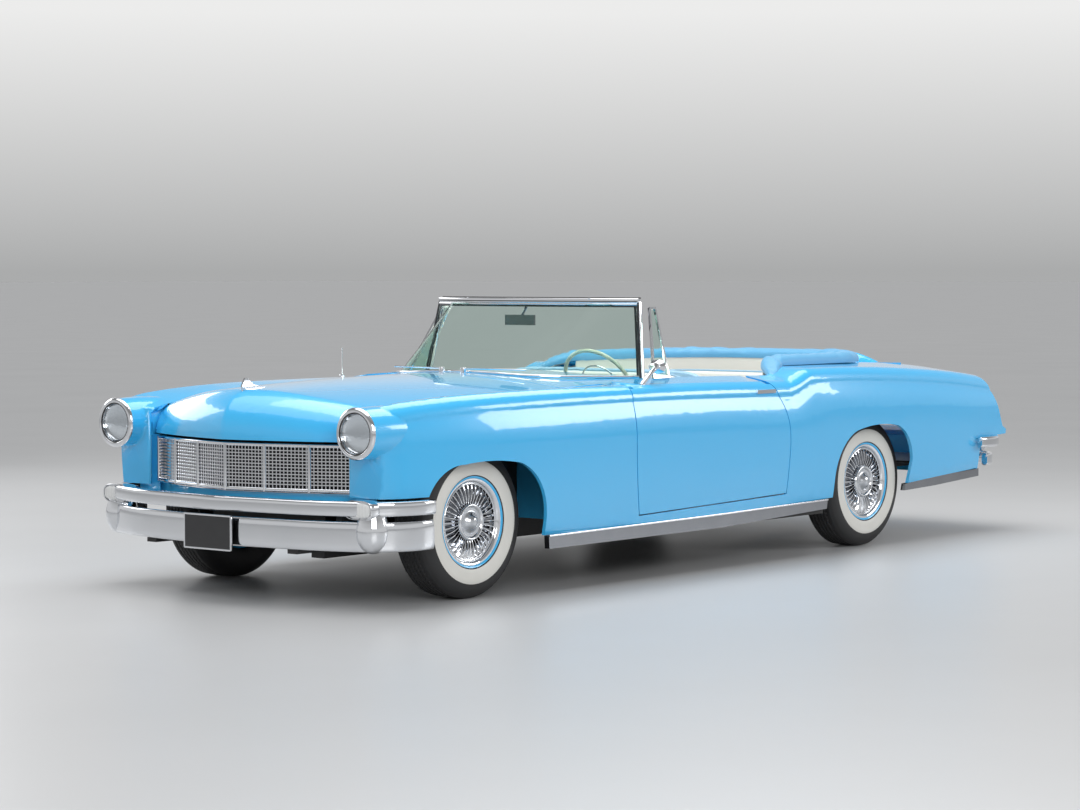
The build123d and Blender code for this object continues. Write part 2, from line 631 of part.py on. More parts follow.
def well_plan(grow, front_x):
    """Plan outline of the opening round the rear seat, a U with round rear corners, grown outwards."""
    with BuildSketch(Plane.XY) as plan:
        with BuildLine():
            half = SEAT_WELL_HALF + grow
            x_rear = SEAT_WELL_REAR - grow
            corner = SEAT_WELL_CORNER + grow
            Line((front_x, -half), (front_x, half))
            Line((front_x, half), (x_rear + corner, half))
            RadiusArc((x_rear + corner, half), (x_rear, half - corner), -corner)
            Line((x_rear, half - corner), (x_rear, corner - half))
            RadiusArc((x_rear, corner - half), (x_rear + corner, -half), -corner)
            Line((x_rear + corner, -half), (front_x, -half))
        make_face()
    return plan.sketch


with BuildPart() as rear_deck:
    deck = side_polygon(-DECK_HALF + SEAT_GAP, [
        (SEAT_WELL_FRONT, DECK_Z), (rear(-270), DECK_Z - 6), (LID_FRONT + SHUT_GAP, LID_Z),
        (LID_FRONT + SHUT_GAP, LID_Z - DECK_SKIN), (rear(-270), DECK_Z - 6 - DECK_SKIN),
        (SEAT_WELL_FRONT, DECK_Z - DECK_SKIN),
    ])
    add(side_cut(deck, -DECK_HALF + SEAT_GAP, DECK_HALF - SEAT_GAP))
    extrude(well_plan(20, SEAT_WELL_FRONT + 10), amount=1200, mode=Mode.SUBTRACT)
save(rear_deck, "rear_deck")

FLOOR_KICK = 440.0         # floor over the rear axle
TRUNK_FLOOR = 420.0
with BuildPart() as tail_panel:
    panel = side_polygon(-890, [
        (QUARTER_END - SEAT_GAP, TRUNK_FLOOR - 90), (QUARTER_END - SEAT_GAP, FIN_BOTTOM - 12),
        (QUARTER_END - TAIL_PANEL, FIN_BOTTOM - 12), (QUARTER_END - TAIL_PANEL, TRUNK_FLOOR - 90),
    ])
    add(side_cut(panel, -890, 890))
    ledge = side_polygon(-LID_HALF, [
        (QUARTER_END - SEAT_GAP, FIN_BOTTOM - 30), (QUARTER_END - SEAT_GAP, FIN_BOTTOM - 12),
        (tail(116), 568), (tail(104), 568), (tail(104), 546),
        (QUARTER_END - TAIL_PANEL, FIN_BOTTOM - 30),
    ])
    add(side_cut(ledge, -LID_HALF, LID_HALF))
    # buffers under the lid's lip
    for side in (1, -1):
        add(box_between((tail(130), side * 430, 550), (tail(152), side * 490, LID_LIP_Z - SEAT_GAP)))
save(tail_panel, "tail_panel")

# ---- frame and floor ----------------------------------------------------------------------------
RAIL_INNER = 380.0
RAIL_DEPTH = 95.0
AXLE_KICK = (rear(360), rear(-360))
with BuildPart() as frame_rails:
    for side in (1, -1):
        y_low = side * (RAIL_INNER + RAIL_OUTER) / 2 - (RAIL_OUTER - RAIL_INNER) / 2
        rail = side_polygon(y_low, [
            (front(575), RAIL_TOP), (rear(450), RAIL_TOP), (AXLE_KICK[0], FLOOR_KICK - SEAT_GAP),
            (AXLE_KICK[1], FLOOR_KICK - SEAT_GAP), (rear(-450), TRUNK_FLOOR - SEAT_GAP),
            (QUARTER_END + 20, TRUNK_FLOOR - SEAT_GAP), (QUARTER_END + 20, TRUNK_FLOOR - 60),
            (rear(-460), TRUNK_FLOOR - 60), (rear(-340), FLOOR_KICK - 46), (rear(320), FLOOR_KICK - 46),
            (rear(440), RAIL_TOP - RAIL_DEPTH), (front(575), RAIL_TOP - RAIL_DEPTH),
        ])
        add(side_cut(rail, y_low, y_low + RAIL_OUTER - RAIL_INNER))
    for x, z_top in ((front(500), RAIL_TOP), (front(-900), RAIL_TOP), (front(-1750), RAIL_TOP),
                     (rear(560), RAIL_TOP), (rear(-480), TRUNK_FLOOR - SEAT_GAP)):
        add(box_between((x - 35, -RAIL_INNER, z_top - 50), (x + 35, RAIL_INNER, z_top)))
save(frame_rails, "frame_rails")

FLOOR_HALF = 870.0
ROCKER_OUT = 916.0
with BuildPart() as floor_pan:
    pan = side_polygon(-FLOOR_HALF, [
        (FIREWALL_X - FIREWALL - SEAT_GAP, FLOOR_Z), (rear(470), FLOOR_Z), (rear(380), FLOOR_KICK),
        (rear(-380), FLOOR_KICK), (rear(-460), TRUNK_FLOOR), (QUARTER_END, TRUNK_FLOOR),
        (QUARTER_END, TRUNK_FLOOR + FLOOR_SKIN), (rear(-456), TRUNK_FLOOR + FLOOR_SKIN),
        (rear(-376), FLOOR_KICK + FLOOR_SKIN), (rear(376), FLOOR_KICK + FLOOR_SKIN),
        (rear(466), FLOOR_Z + FLOOR_SKIN), (FIREWALL_X - FIREWALL - SEAT_GAP, FLOOR_Z + FLOOR_SKIN),
    ])
    add(side_cut(pan, -FLOOR_HALF, FLOOR_HALF))
    tunnel_front = FIREWALL_X - FIREWALL - SEAT_GAP
    add(box_between((rear(388), -TUNNEL_HALF, FLOOR_Z), (tunnel_front, TUNNEL_HALF, TUNNEL_TOP)))
    add(box_between((rear(376), FLOOR_SKIN - TUNNEL_HALF, 200),
                    (tunnel_front + 10, TUNNEL_HALF - FLOOR_SKIN, TUNNEL_TOP - FLOOR_SKIN)), mode=Mode.SUBTRACT)
    rocker_top = FLOOR_Z + FLOOR_SKIN / 2
    for side in (1, -1):
        add(box_between((rear(500), side * (FLOOR_HALF - 20), 212), (front(-1100), side * ROCKER_OUT, rocker_top)))
        add(box_between((rear(-452), side * (WHEELHOUSE_Y - SEAT_GAP), 100), (rear(472), side * 1000, 700)),
            mode=Mode.SUBTRACT)
save(floor_pan, "floor_pan")

# ---- sill trims ---------------------------------------------------------------------------------
TRIM_IN = ROCKER_OUT
TRIM_OUT = 945.0
with BuildPart() as sill_trims:
    for side in (1, -1):
        y_low = side * (TRIM_IN + TRIM_OUT) / 2 - (TRIM_OUT - TRIM_IN) / 2
        strip = side_polygon(y_low, [
            (front(-408), SILL_Z - 2), (front(-1746), SILL_Z + 8), (rear(497), SILL_Z + 22),
            (rear(505), 238), (front(-1770), 205), (front(-412), 202),
        ])
        add(side_cut(strip, y_low, y_low + TRIM_OUT - TRIM_IN))
        y_low = side * 893 - 14
        tail_strip = side_polygon(y_low, [
            (rear(-320), 318), (rear(-619), 342), (QUARTER_END, 360),
            (QUARTER_END, 318), (rear(-620), 292), (rear(-310), 282),
        ])
        add(side_cut(tail_strip, y_low, y_low + 28))
    for panel in (floor_pan, quarter_left, quarter_right, fender_left, fender_right):
        add(panel.part, mode=Mode.SUBTRACT)
save(sill_trims, "sill_trims")

# ---- front bumper -------------------------------------------------------------------------------
BUMPER_UPPER_Z = 448.0
BUMPER_LOWER_Z = 326.0
UPPER_BAR = (44.0, 66.0)   # depth, height
LOWER_BAR = (34.0, 132.0)
GUARD_RADIUS = 76.0
GUARD = (front(632), 806.0, 250.0)      # x, y and lowest point of the guards
PARKING = (front(648), 780.0, 444.0)    # middle of the lamp housings


def bumper_bar(z, bar, back):
    """Bar swept along the bumper's plan line from end to end, set back from its face."""
    depth, height = bar
    x_back = depth / 2 + back
    with BuildLine(Plane.XY.offset(z)) as path:
        centre = Line((front(FRONT_OVERHANG) - x_back, 0), (front(800) - x_back, 430))
        bend = TangentArc((front(800) - x_back, 430), (front(700) - x_back, 778), tangent=centre % 1)
        TangentArc(bend @ 1, (front(378), 948 - x_back), tangent=bend % 1)
    with BuildSketch(Plane(origin=centre @ 0, x_dir=(1, 0, 0), z_dir=centre % 0)) as profile:
        RectangleRounded(depth, height, min(depth, height) * 0.42)
    half = sweep(sections=profile.sketch, path=path.line, mode=Mode.PRIVATE)
    return half + mirror(half, about=Plane.XZ, mode=Mode.PRIVATE)


with BuildPart() as front_bumper:
    add(bumper_bar(BUMPER_UPPER_Z, UPPER_BAR, 0))
    add(bumper_bar(BUMPER_LOWER_Z, LOWER_BAR, 10))
    for side in (1, -1):
        with BuildSketch(side_plane(side * GUARD[1])) as guard:
            with BuildLine():
                Line((GUARD[0], GUARD[2]), (GUARD[0], 420))
                Line((GUARD[0], 420), (GUARD[0] + GUARD_RADIUS * 0.8, 420))
                Line((GUARD[0] + GUARD_RADIUS * 0.8, 420), (GUARD[0] + GUARD_RADIUS, 345))
                ThreePointArc(
                    (GUARD[0] + GUARD_RADIUS, 345), (GUARD[0] + GUARD_RADIUS * 0.74, 276), (GUARD[0], GUARD[2])
                )
            make_face()
        revolve(axis=Axis((GUARD[0], side * GUARD[1], 0), (0, 0, 1)))
        # lamp housing
        with BuildSketch(cross_plane(PARKING[0] - 70)) as pod, Locations((side * PARKING[1], PARKING[2])):
            RectangleRounded(168, 88, 40)
        extrude(amount=120)
        with BuildSketch(cross_plane(PARKING[0] + 40)) as seat, Locations((side * PARKING[1], PARKING[2])):
            RectangleRounded(140, 62, 28)
        extrude(amount=40, mode=Mode.SUBTRACT)
        # bracket back to the frame rail
        add(box_between((front(575) + SEAT_GAP, side * RAIL_INNER, 230), (front(800), side * RAIL_OUTER, 290)))
    for panel in (fender_left, fender_right):
        add(panel.part, mode=Mode.SUBTRACT)
save(front_bumper, "front_bumper")

with BuildPart() as parking_lamps:
    for side in (1, -1):
        with BuildSketch(cross_plane(PARKING[0] + 40 + SEAT_GAP)) as lens, Locations((side * PARKING[1], PARKING[2])):
            RectangleRounded(140 - 2 * SEAT_GAP, 62 - 2 * SEAT_GAP, 27)
        extrude(amount=14)
save(parking_lamps, "parking_lamps")

PLATE = (305.0, 160.0)     # width, height of the number plate
with BuildPart() as plate_front:
    with Locations((front(FRONT_OVERHANG) - 2, 0, 318)):
        Box(6, *PLATE, align=(Align.MAX, Align.CENTER, Align.CENTER))
    # spacer against the lower bar
    add(box_between((front(FRONT_OVERHANG) - 14, -60, 300), (front(FRONT_OVERHANG) - 6, 60, 350)))
    add(front_bumper.part, mode=Mode.SUBTRACT)
save(plate_front, "plate_front")

# ---- grille -------------------------------------------------------------------------------------
GRILLE_BOTTOM = 497.0
GRILLE_DEPTH = 26.0
GRILLE_CORNERS = [(front(738), 0.0), (front(702), 215.0), (front(638), 432.0), (front(552), 640.0)]
GRILLE_BARS = 11           # upright bars in each bay
GRILLE_ROWS = 12           # level bars
FINE_BAR = 5.0
with BuildPart() as grille_half:
    for (x_a, y_a), (x_b, y_b) in zip(GRILLE_CORNERS, GRILLE_CORNERS[1:]):
        bay = Plane(origin=(x_a, y_a, GRILLE_BOTTOM), x_dir=(x_b - x_a, y_b - y_a, 0), z_dir=(y_b - y_a, x_a - x_b, 0))
        span = math.hypot(x_b - x_a, y_b - y_a)
        height = GRILLE_TOP - GRILLE_BOTTOM
        with Locations(bay):
            for z, thick in ((0, 20), (height - 14, 14)):
                with Locations((0, z, 0)):
                    Box(span, thick, GRILLE_DEPTH, align=(Align.MIN, Align.MIN, Align.MAX))
            with Locations((span - 9, 0, 4)):
                Box(18, height, GRILLE_DEPTH + 4, align=(Align.MIN, Align.MIN, Align.MAX))
            for bar in range(1, GRILLE_BARS + 1):
                with Locations((span * bar / (GRILLE_BARS + 1), 0, -4)):
                    Box(FINE_BAR, height, 6, align=(Align.CENTER, Align.MIN, Align.MAX))
            for row in range(1, GRILLE_ROWS + 1):
                with Locations((0, 20 + (height - 34) * row / (GRILLE_ROWS + 1), -11)):
                    Box(span, FINE_BAR, 6, align=(Align.MIN, Align.CENTER, Align.MAX))
with BuildPart() as grille:
    add(grille_half.part)
    mirror(about=Plane.XZ)
    add(box_between((front(728), -9, GRILLE_BOTTOM), (front(744), 9, GRILLE_TOP)))
    # lugs that bear on the back of the fenders' noses
    for side in (1, -1):
        add(box_between((front(535), side * 625, 560), (front(606) - PANEL - SEAT_GAP, side * 680, 600)))
    for panel in (fender_left, fender_right, front_bumper):
        add(panel.part, mode=Mode.SUBTRACT)
save(grille, "grille")

# ---- headlamps ----------------------------------------------------------------------------------
RING_DEPTH = 12.0
with BuildPart() as headlamp_rings:
    for side in (1, -1):
        with BuildSketch(side_plane(side * LAMP_Y)) as ring:
            with BuildLine():
                Polyline(
                    (LAMP_FACE + SEAT_GAP, LAMP_Z + 90), (LAMP_FACE + SEAT_GAP, LAMP_Z + LAMP_RADIUS + 2),
                    (LAMP_FACE + 5, LAMP_Z + LAMP_RADIUS + 2), (LAMP_FACE + RING_DEPTH, LAMP_Z + 97),
                    (LAMP_FACE + RING_DEPTH, LAMP_Z + 90), close=True,
                )
            make_face()
        revolve(axis=Axis((0, side * LAMP_Y, LAMP_Z), (1, 0, 0)))
save(headlamp_rings, "headlamp_rings")

with BuildPart() as headlamps:
    for side in (1, -1):
        with BuildSketch(side_plane(side * LAMP_Y)) as bulb:
            with BuildLine():
                Line((LAMP_FACE - 25, LAMP_Z), (LAMP_FACE + 22, LAMP_Z))
                ThreePointArc((LAMP_FACE + 22, LAMP_Z), (LAMP_FACE + 17, LAMP_Z + 50), (LAMP_FACE + 2, LAMP_Z + 90 - SEAT_GAP))
                Line((LAMP_FACE + 2, LAMP_Z + 90 - SEAT_GAP), (LAMP_FACE - 25, LAMP_Z + 70))
                Line((LAMP_FACE - 25, LAMP_Z + 70), (LAMP_FACE - 25, LAMP_Z))
            make_face()
        revolve(axis=Axis((0, side * LAMP_Y, LAMP_Z), (1, 0, 0)))
save(headlamps, "headlamps")

# ---- hood ornament ------------------------------------------------------------------------------
with BuildPart() as hood_ornament:
    with BuildSketch(side_plane(0)) as blade:
        with BuildLine():
            Polyline((front(628), 925), (front(632), 962), (front(612), 1000), (front(596), 1000),
                     (front(560), 968), (front(480), 955), (front(480), 925), close=True)
        make_face()
    extrude(amount=5, both=True)
    add(hood.part, mode=Mode.SUBTRACT)
    add(box_between((front(400), -50, 800), (front(700), 50, 940)), mode=Mode.SUBTRACT)
save(hood_ornament, "hood_ornament")

# ---- rear bumper and lamps ----------------------------------------------------------------------
REAR_BAR_Z = 512.0
REAR_BAR = (40.0, 62.0)
REAR_LOW_BAR_Z = 408.0
with BuildPart() as rear_bumper:
    for z, bar, back, x_tip in ((REAR_BAR_Z, REAR_BAR, 0, tail(0)), (REAR_LOW_BAR_Z, (36.0, 70.0), 22, tail(30))):
        depth, height = bar
        x_back = depth / 2 + back
        with BuildLine(Plane.XY.offset(z)) as path:
            centre = Line((tail(x_back), 0), (tail(22 + x_back), 560))
            bend = TangentArc((tail(22 + x_back), 560), (tail(150 + x_back), 860 - back), tangent=centre % 1)
            end = (tail(470), 948 - back) if z == REAR_BAR_Z else (tail(330), 918 - back)
            TangentArc(bend @ 1, end, tangent=bend % 1)
        with BuildSketch(Plane(origin=centre @ 0, x_dir=(1, 0, 0), z_dir=centre % 0)) as profile:
            RectangleRounded(depth, height, depth * 0.42)
        sweep(sections=profile.sketch, path=path.line)
    for y in (330, 700):
        # uprights between the bars
        add(box_between((tail(34), y - 28, REAR_LOW_BAR_Z - 36), (tail(78), y + 28, REAR_BAR_Z + 30)))
    mirror(about=Plane.XZ)
    for side in (1, -1):
        add(box_between((tail(50), side * RAIL_INNER, 380), (QUARTER_END - TAIL_PANEL - SEAT_GAP, side * RAIL_OUTER, 430)))
    for panel in (quarter_left, quarter_right, tail_panel):
        add(panel.part, mode=Mode.SUBTRACT)
save(rear_bumper, "rear_bumper")

with BuildPart() as tail_lamps:
    for side in (1, -1):
        y_low = side * 812 - 34
        lens = side_polygon(y_low, [
            (tail(262), 760), (tail(236), 757), (tail(126), 640), (tail(134), 600), (tail(160), 596), (tail(200), 640),
        ])
        add(side_cut(lens, y_low, y_low + 68))
    add(quarter_left.part, mode=Mode.SUBTRACT)
    add(quarter_right.part, mode=Mode.SUBTRACT)
save(tail_lamps, "tail_lamps")

# ---- heavy mass under the hood ------------------------------------------------------------------
with BuildPart() as engine:
    add(box_between((front(-690), -270, 310), (front(150), 270, 800)))
    add(box_between((front(-690), -RAIL_INNER, RAIL_TOP), (front(-640), RAIL_INNER, RAIL_TOP + 40)))
    add(box_between((front(60), -RAIL_INNER - 40, RAIL_TOP + SEAT_GAP), (front(120), RAIL_INNER + 40, RAIL_TOP + 50)))
    add(frame_rails.part, mode=Mode.SUBTRACT)
save(engine, "engine")

with BuildPart() as radiator:
    add(box_between((front(395), -360, RAIL_TOP + SEAT_GAP), (front(465), 360, 720)))
    add(box_between((front(395), -440, RAIL_TOP + SEAT_GAP), (front(465), 440, RAIL_TOP + 40)))
save(radiator, "radiator")

# ---- seats --------------------------------------------------------------------------------------
SEAT_HALF = 650.0
with BuildPart() as front_seat:
    with BuildSketch(side_plane(-SEAT_HALF)) as bench:
        with BuildLine():
            Polyline(
                (front(-1440), TUNNEL_TOP + SEAT_GAP), (front(-1430), 560), (front(-1470), 588), (front(-1860), 560),
                (front(-1975), 975), (front(-2010), 992), (front(-2075), 985), (front(-2090), 950),
                (front(-1995), TUNNEL_TOP + SEAT_GAP), close=True,
            )
        make_face()
    extrude(amount=-2 * SEAT_HALF)
    for side in (1, -1):
        add(box_between((front(-1950), side * 250, FLOOR_Z + FLOOR_SKIN + SEAT_GAP), (front(-1500), side * 600, 450)))
save(front_seat, "front_seat")

REAR_SEAT_HALF = 590.0
with BuildPart() as rear_seat:
    with BuildSketch(side_plane(-REAR_SEAT_HALF)) as bench:
        with BuildLine():
            Polyline(
                (rear(540), FLOOR_KICK + FLOOR_SKIN + SEAT_GAP), (rear(550), 560), (rear(510), 590), (rear(130), 570),
                (rear(20), 930), (rear(-20), 950), (rear(-100), 945), (rear(-110), 900),
                (rear(-10), FLOOR_KICK + FLOOR_SKIN + SEAT_GAP), close=True,
            )
        make_face()
    extrude(amount=-2 * REAR_SEAT_HALF)
save(rear_seat, "rear_seat")

SIDE_TRIM_Y = 760.0
with BuildPart() as side_trim:
    for side in (1, -1):
        y_low = side * (SIDE_TRIM_Y + 6) - 6
        lining = side_polygon(y_low, [
            (DOOR_REAR + 20, FLOOR_Z + FLOOR_SKIN + SEAT_GAP), (DOOR_REAR + 20, 640), (DOOR_REAR + 120, 915),
            (rear(790), 915), (rear(700), 940), (rear(480), 950), (rear(480), FLOOR_Z + FLOOR_SKIN + SEAT_GAP),
        ])
        add(side_cut(lining, y_low, y_low + 12))
        # buffer that the shut door rests on
        add(box_between((DOOR_REAR + 10, side * (SIDE_TRIM_Y + 2), 540),
                        (DOOR_REAR + 70, side * (DOOR_INNER_Y - SEAT_GAP), 580)))
    for panel in (quarter_left, quarter_right):
        add(panel.part, mode=Mode.SUBTRACT)
save(side_trim, "side_trim")

# ---- folded top under its cover -----------------------------------------------------------------
BOOT_TOP = 1040.0
BOOT_BOTTOM = DECK_Z + SEAT_GAP
BOOT_WIDTH = 132.0
# x, y_middle, z_bottom, half_width, rise of the arms that run forward over the hips
BOOT_ARM = [
    (SEAT_WELL_FRONT - 12, SEAT_WELL_HALF + BOOT_WIDTH / 2, BOOT_BOTTOM, BOOT_WIDTH / 2, BOOT_TOP - BOOT_BOTTOM),
    (rear(715), 744, 958, 50, 62),
    (rear(800), 800, 930, 26, 44),
]


def boot_slice(row):
    """D-shaped slice of the rolled cover, flat side down."""
    x, y, z, half_width, rise = row
    with BuildSketch(cross_plane(x)) as slice_:
        with BuildLine():
            Polyline((y - half_width, z + rise * 0.45), (y - half_width, z), (y + half_width, z),
                     (y + half_width, z + rise * 0.45))
            ThreePointArc((y + half_width, z + rise * 0.45), (y + half_width * 0.68, z + rise * 0.86), (y, z + rise))
            ThreePointArc((y, z + rise), (y - half_width * 0.68, z + rise * 0.86), (y - half_width, z + rise * 0.45))
        make_face()
    return slice_.sketch


with BuildPart() as top_boot:
    with BuildLine(Plane.XY.offset(BOOT_BOTTOM)) as roll:
        half = SEAT_WELL_HALF + BOOT_WIDTH / 2
        x_rear = SEAT_WELL_REAR - BOOT_WIDTH / 2
        corner = SEAT_WELL_CORNER + BOOT_WIDTH / 2
        Line((SEAT_WELL_FRONT - 10, half), (x_rear + corner, half))
        RadiusArc((x_rear + corner, half), (x_rear, half - corner), -corner)
        Line((x_rear, half - corner), (x_rear, 0))
    with BuildSketch(Plane(origin=roll.line @ 0, x_dir=(0, -1, 0), z_dir=(-1, 0, 0))):
        with BuildLine():
            w = BOOT_WIDTH / 2
            rise = BOOT_TOP - BOOT_BOTTOM
            Polyline((-w, rise * 0.45), (-w, 0), (w, 0), (w, rise * 0.45))
            ThreePointArc((w, rise * 0.45), (w * 0.68, rise * 0.86), (0, rise))
            ThreePointArc((0, rise), (-w * 0.68, rise * 0.86), (-w, rise * 0.45))
        make_face()
    sweep(path=roll.line)
    loft(sections=[boot_slice(row) for row in BOOT_ARM])
    mirror(about=Plane.XZ)
    for panel in (quarter_left, quarter_right, rear_deck):
        add(panel.part, mode=Mode.SUBTRACT)
save(top_boot, "top_boot")

# ---- wheels -------------------------------------------------------------------------------------
HUB_RADIUS = 34.0
SPINDLE_RADIUS = 18.0
SPINDLE_GAP = 0.5
DISC_OUT = 62.0            # outer face of the wheel cover, outboard of the tyre's middle
VANES = 38                 # radial vanes on the wheel cover
VANE_IN = 76.0
VANE_OUT = 180.0
WHEELS = [
    # name, x, track, side
    ("front_left", FRONT_AXLE_X, TRACK_FRONT, 1),
    ("front_right", FRONT_AXLE_X, TRACK_FRONT, -1),
    ("rear_left", REAR_AXLE_X, TRACK_REAR, 1),
    ("rear_right", REAR_AXLE_X, TRACK_REAR, -1),
]


def upright_polygon(plane, points):
    """Half section of a wheel piece: points are the distance outboard and the radius."""
    with BuildSketch(plane) as face:
        with BuildLine():
            Polyline(*points, close=True)
        make_face()
    return face.sketch


for name, x, track, side in WHEELS:
    # local axes: outboard and up
    wheel_plane = Plane(origin=(x, side * track / 2, AXLE_HEIGHT), x_dir=(0, side, 0), z_dir=(side, 0, 0))
    axle = Axis((x, side * track / 2, AXLE_HEIGHT), (0, 1, 0))
    half = TYRE_WIDTH / 2
    with BuildPart() as tyre:
        with BuildSketch(wheel_plane) as section:
            with BuildLine():
                Line((-half + 22, RIM_RADIUS + 2), (-half + 4, RIM_RADIUS + 12))
                ThreePointArc((-half + 4, RIM_RADIUS + 12), (-half, 276), (-half + 22, 334))
                ThreePointArc((-half + 22, 334), (-half + 34, 342), (-half + 50, TYRE_RADIUS - 2))
                ThreePointArc((-half + 50, TYRE_RADIUS - 2), (0, TYRE_RADIUS), (half - 50, TYRE_RADIUS - 2))
                ThreePointArc((half - 50, TYRE_RADIUS - 2), (half - 34, 342), (half - 22, 334))
                ThreePointArc((half - 22, 334), (half, 276), (half - 4, RIM_RADIUS + 12))
                Line((half - 4, RIM_RADIUS + 12), (half - 22, RIM_RADIUS + 2))
                Polyline((half - 22, RIM_RADIUS + 2), (half - 22, 250), (half - 40, 322),
                         (40 - half, 322), (22 - half, 250), (22 - half, RIM_RADIUS + 2))
            make_face()
        revolve(axis=axle)
    save(tyre, f"tyre_{name}")
    with BuildPart() as wheel:
        rim = upright_polygon(wheel_plane, [
            (-half + 14, RIM_RADIUS + 4), (-half + 22 - SEAT_GAP, RIM_RADIUS + 1.6), (-half + 26, RIM_RADIUS),
            (half - 26, RIM_RADIUS), (half - 22 + SEAT_GAP, RIM_RADIUS + 1.6), (half - 14, RIM_RADIUS + 4),
            (half - 10, RIM_RADIUS - 2), (half - 18, RIM_RADIUS - 12), (half - 30, RIM_RADIUS - 14),
            (-half + 30, RIM_RADIUS - 14), (-half + 14, RIM_RADIUS - 6),
        ])
        revolve(rim, axis=axle)
        cover = upright_polygon(wheel_plane, [
            (30, SPINDLE_RADIUS + SPINDLE_GAP), (30, 150), (48, RIM_RADIUS - 8), (DISC_OUT + 12, RIM_RADIUS - 12),
            (DISC_OUT + 14, RIM_RADIUS - 20), (DISC_OUT + 2, RIM_RADIUS - 60), (DISC_OUT + 4, 78),
            (DISC_OUT + 26, 60), (DISC_OUT + 46, 0), (56, 0), (56, SPINDLE_RADIUS + SPINDLE_GAP),
        ])
        revolve(cover, axis=axle)
        with Locations(Plane(origin=(x, side * (track / 2 + DISC_OUT - 2), AXLE_HEIGHT), z_dir=(0, side, 0))):
            with PolarLocations((VANE_IN + VANE_OUT) / 2, VANES):
                Box(VANE_OUT - VANE_IN, 4, 13, align=(Align.CENTER, Align.CENTER, Align.MIN))
        barrel = upright_polygon(wheel_plane, [
            (8, SPINDLE_RADIUS + SPINDLE_GAP), (8, HUB_RADIUS), (32, HUB_RADIUS), (32, SPINDLE_RADIUS + SPINDLE_GAP),
        ])
        revolve(barrel, axis=axle)
    save(wheel, f"wheel_{name}")

# ---- front suspension and knuckles --------------------------------------------------------------
KINGPIN_Y = 690.0
KNUCKLE_TOP = AXLE_HEIGHT + 112
KNUCKLE_BOTTOM = AXLE_HEIGHT - 104
for side_name, side in (("left", 1), ("right", -1)):
    with BuildPart() as knuckle:
        add(box_between((front(-28), side * (KINGPIN_Y - 18), KNUCKLE_BOTTOM),
                        (front(28), side * (KINGPIN_Y + 18), KNUCKLE_TOP)))
        add(box_between((front(-135), side * (KINGPIN_Y - 16), KNUCKLE_BOTTOM + 8),
                        (front(0), side * (KINGPIN_Y + 4), KNUCKLE_BOTTOM + 30)))
        with Locations(Plane(origin=(front(0), side * (KINGPIN_Y + 10), AXLE_HEIGHT), z_dir=(0, side, 0))):
            Cylinder(SPINDLE_RADIUS, TRACK_FRONT / 2 + 54 - KINGPIN_Y - 10,
                     align=(Align.CENTER, Align.CENTER, Align.MIN))
            Cylinder(30, 36, align=(Align.CENTER, Align.CENTER, Align.MIN))
    save(knuckle, f"knuckle_{side_name}")

with BuildPart() as front_suspension:
    add(box_between((front(-70), -RAIL_INNER + SEAT_GAP, 215), (front(70), RAIL_INNER - SEAT_GAP, RAIL_TOP)))
    for side in (1, -1):
        for z_low, z_high, z_in in ((KNUCKLE_BOTTOM - 24, KNUCKLE_BOTTOM - SEAT_GAP, 215),
                                    (KNUCKLE_TOP + SEAT_GAP, KNUCKLE_TOP + 20, 470)):
            with BuildSketch(Plane.XY.offset(z_low)) as arm:
                with BuildLine():
                    Polyline(
                        (front(-24), side * (KINGPIN_Y + 16)), (front(24), side * (KINGPIN_Y + 16)),
                        (front(120), side * (RAIL_OUTER + 12 + APRON)), (front(-120), side * (RAIL_OUTER + 12 + APRON)),
                        close=True,
                    )
                make_face()
                with Locations((front(0), side * (RAIL_OUTER + 70))):
                    Rectangle(90, 70, mode=Mode.SUBTRACT)
            extrude(amount=z_high - z_low)
        # towers from the rail to the arms' pivots
        add(box_between((front(-120), side * (RAIL_OUTER + APRON + SEAT_GAP), KNUCKLE_BOTTOM - 24),
                        (front(-80), side * (RAIL_OUTER + 30), KNUCKLE_TOP + 20)))
        add(box_between((front(80), side * (RAIL_OUTER + APRON + SEAT_GAP), KNUCKLE_BOTTOM - 24),
                        (front(120), side * (RAIL_OUTER + 30), KNUCKLE_TOP + 20)))
    for panel in (fender_left, fender_right, frame_rails):
        add(panel.part, mode=Mode.SUBTRACT)
save(front_suspension, "front_suspension")

# ---- rear axle, springs and shaft ---------------------------------------------------------------
SPRING_Y = 505.0
with BuildPart() as rear_axle:
    with Locations(Location((rear(0), 0, AXLE_HEIGHT), (90, 0, 0))):
        Cylinder(36, 2 * (TRACK_REAR / 2 - 12))
        Cylinder(SPINDLE_RADIUS, 2 * (TRACK_REAR / 2 + 54))
        Cylinder(84, 200)
    with Locations(Location(((front(-690) + rear(60)) / 2, 0, AXLE_HEIGHT), (0, 90, 0))):
        Cylinder(34, front(-690) - rear(60) - 2 * SEAT_GAP)
    for side in (1, -1):
        with BuildSketch(side_plane(side * SPRING_Y)) as leaf:
            with BuildLine():
                ThreePointArc((rear(620), 290), (rear(60), 302), (rear(-560), 330))
                Line((rear(-560), 330), (rear(-560), 312))
                ThreePointArc((rear(-560), 312), (rear(60), 284), (rear(620), 270))
                Line((rear(620), 270), (rear(620), 290))
            make_face()
        extrude(amount=28, both=True)
        add(box_between((rear(-40), side * (SPRING_Y - 28), 290), (rear(60), side * (SPRING_Y + 28), 330)))
        # spring hangers
        add(box_between((rear(585), side * (SPRING_Y - 28), 272), (rear(620), side * (SPRING_Y + 28), FLOOR_Z - SEAT_GAP)))
        add(box_between((rear(-560), side * (SPRING_Y - 28), 318),
                        (rear(-530), side * (SPRING_Y + 28), TRUNK_FLOOR - SEAT_GAP)))
    add(frame_rails.part, mode=Mode.SUBTRACT)
save(rear_axle, "rear_axle")

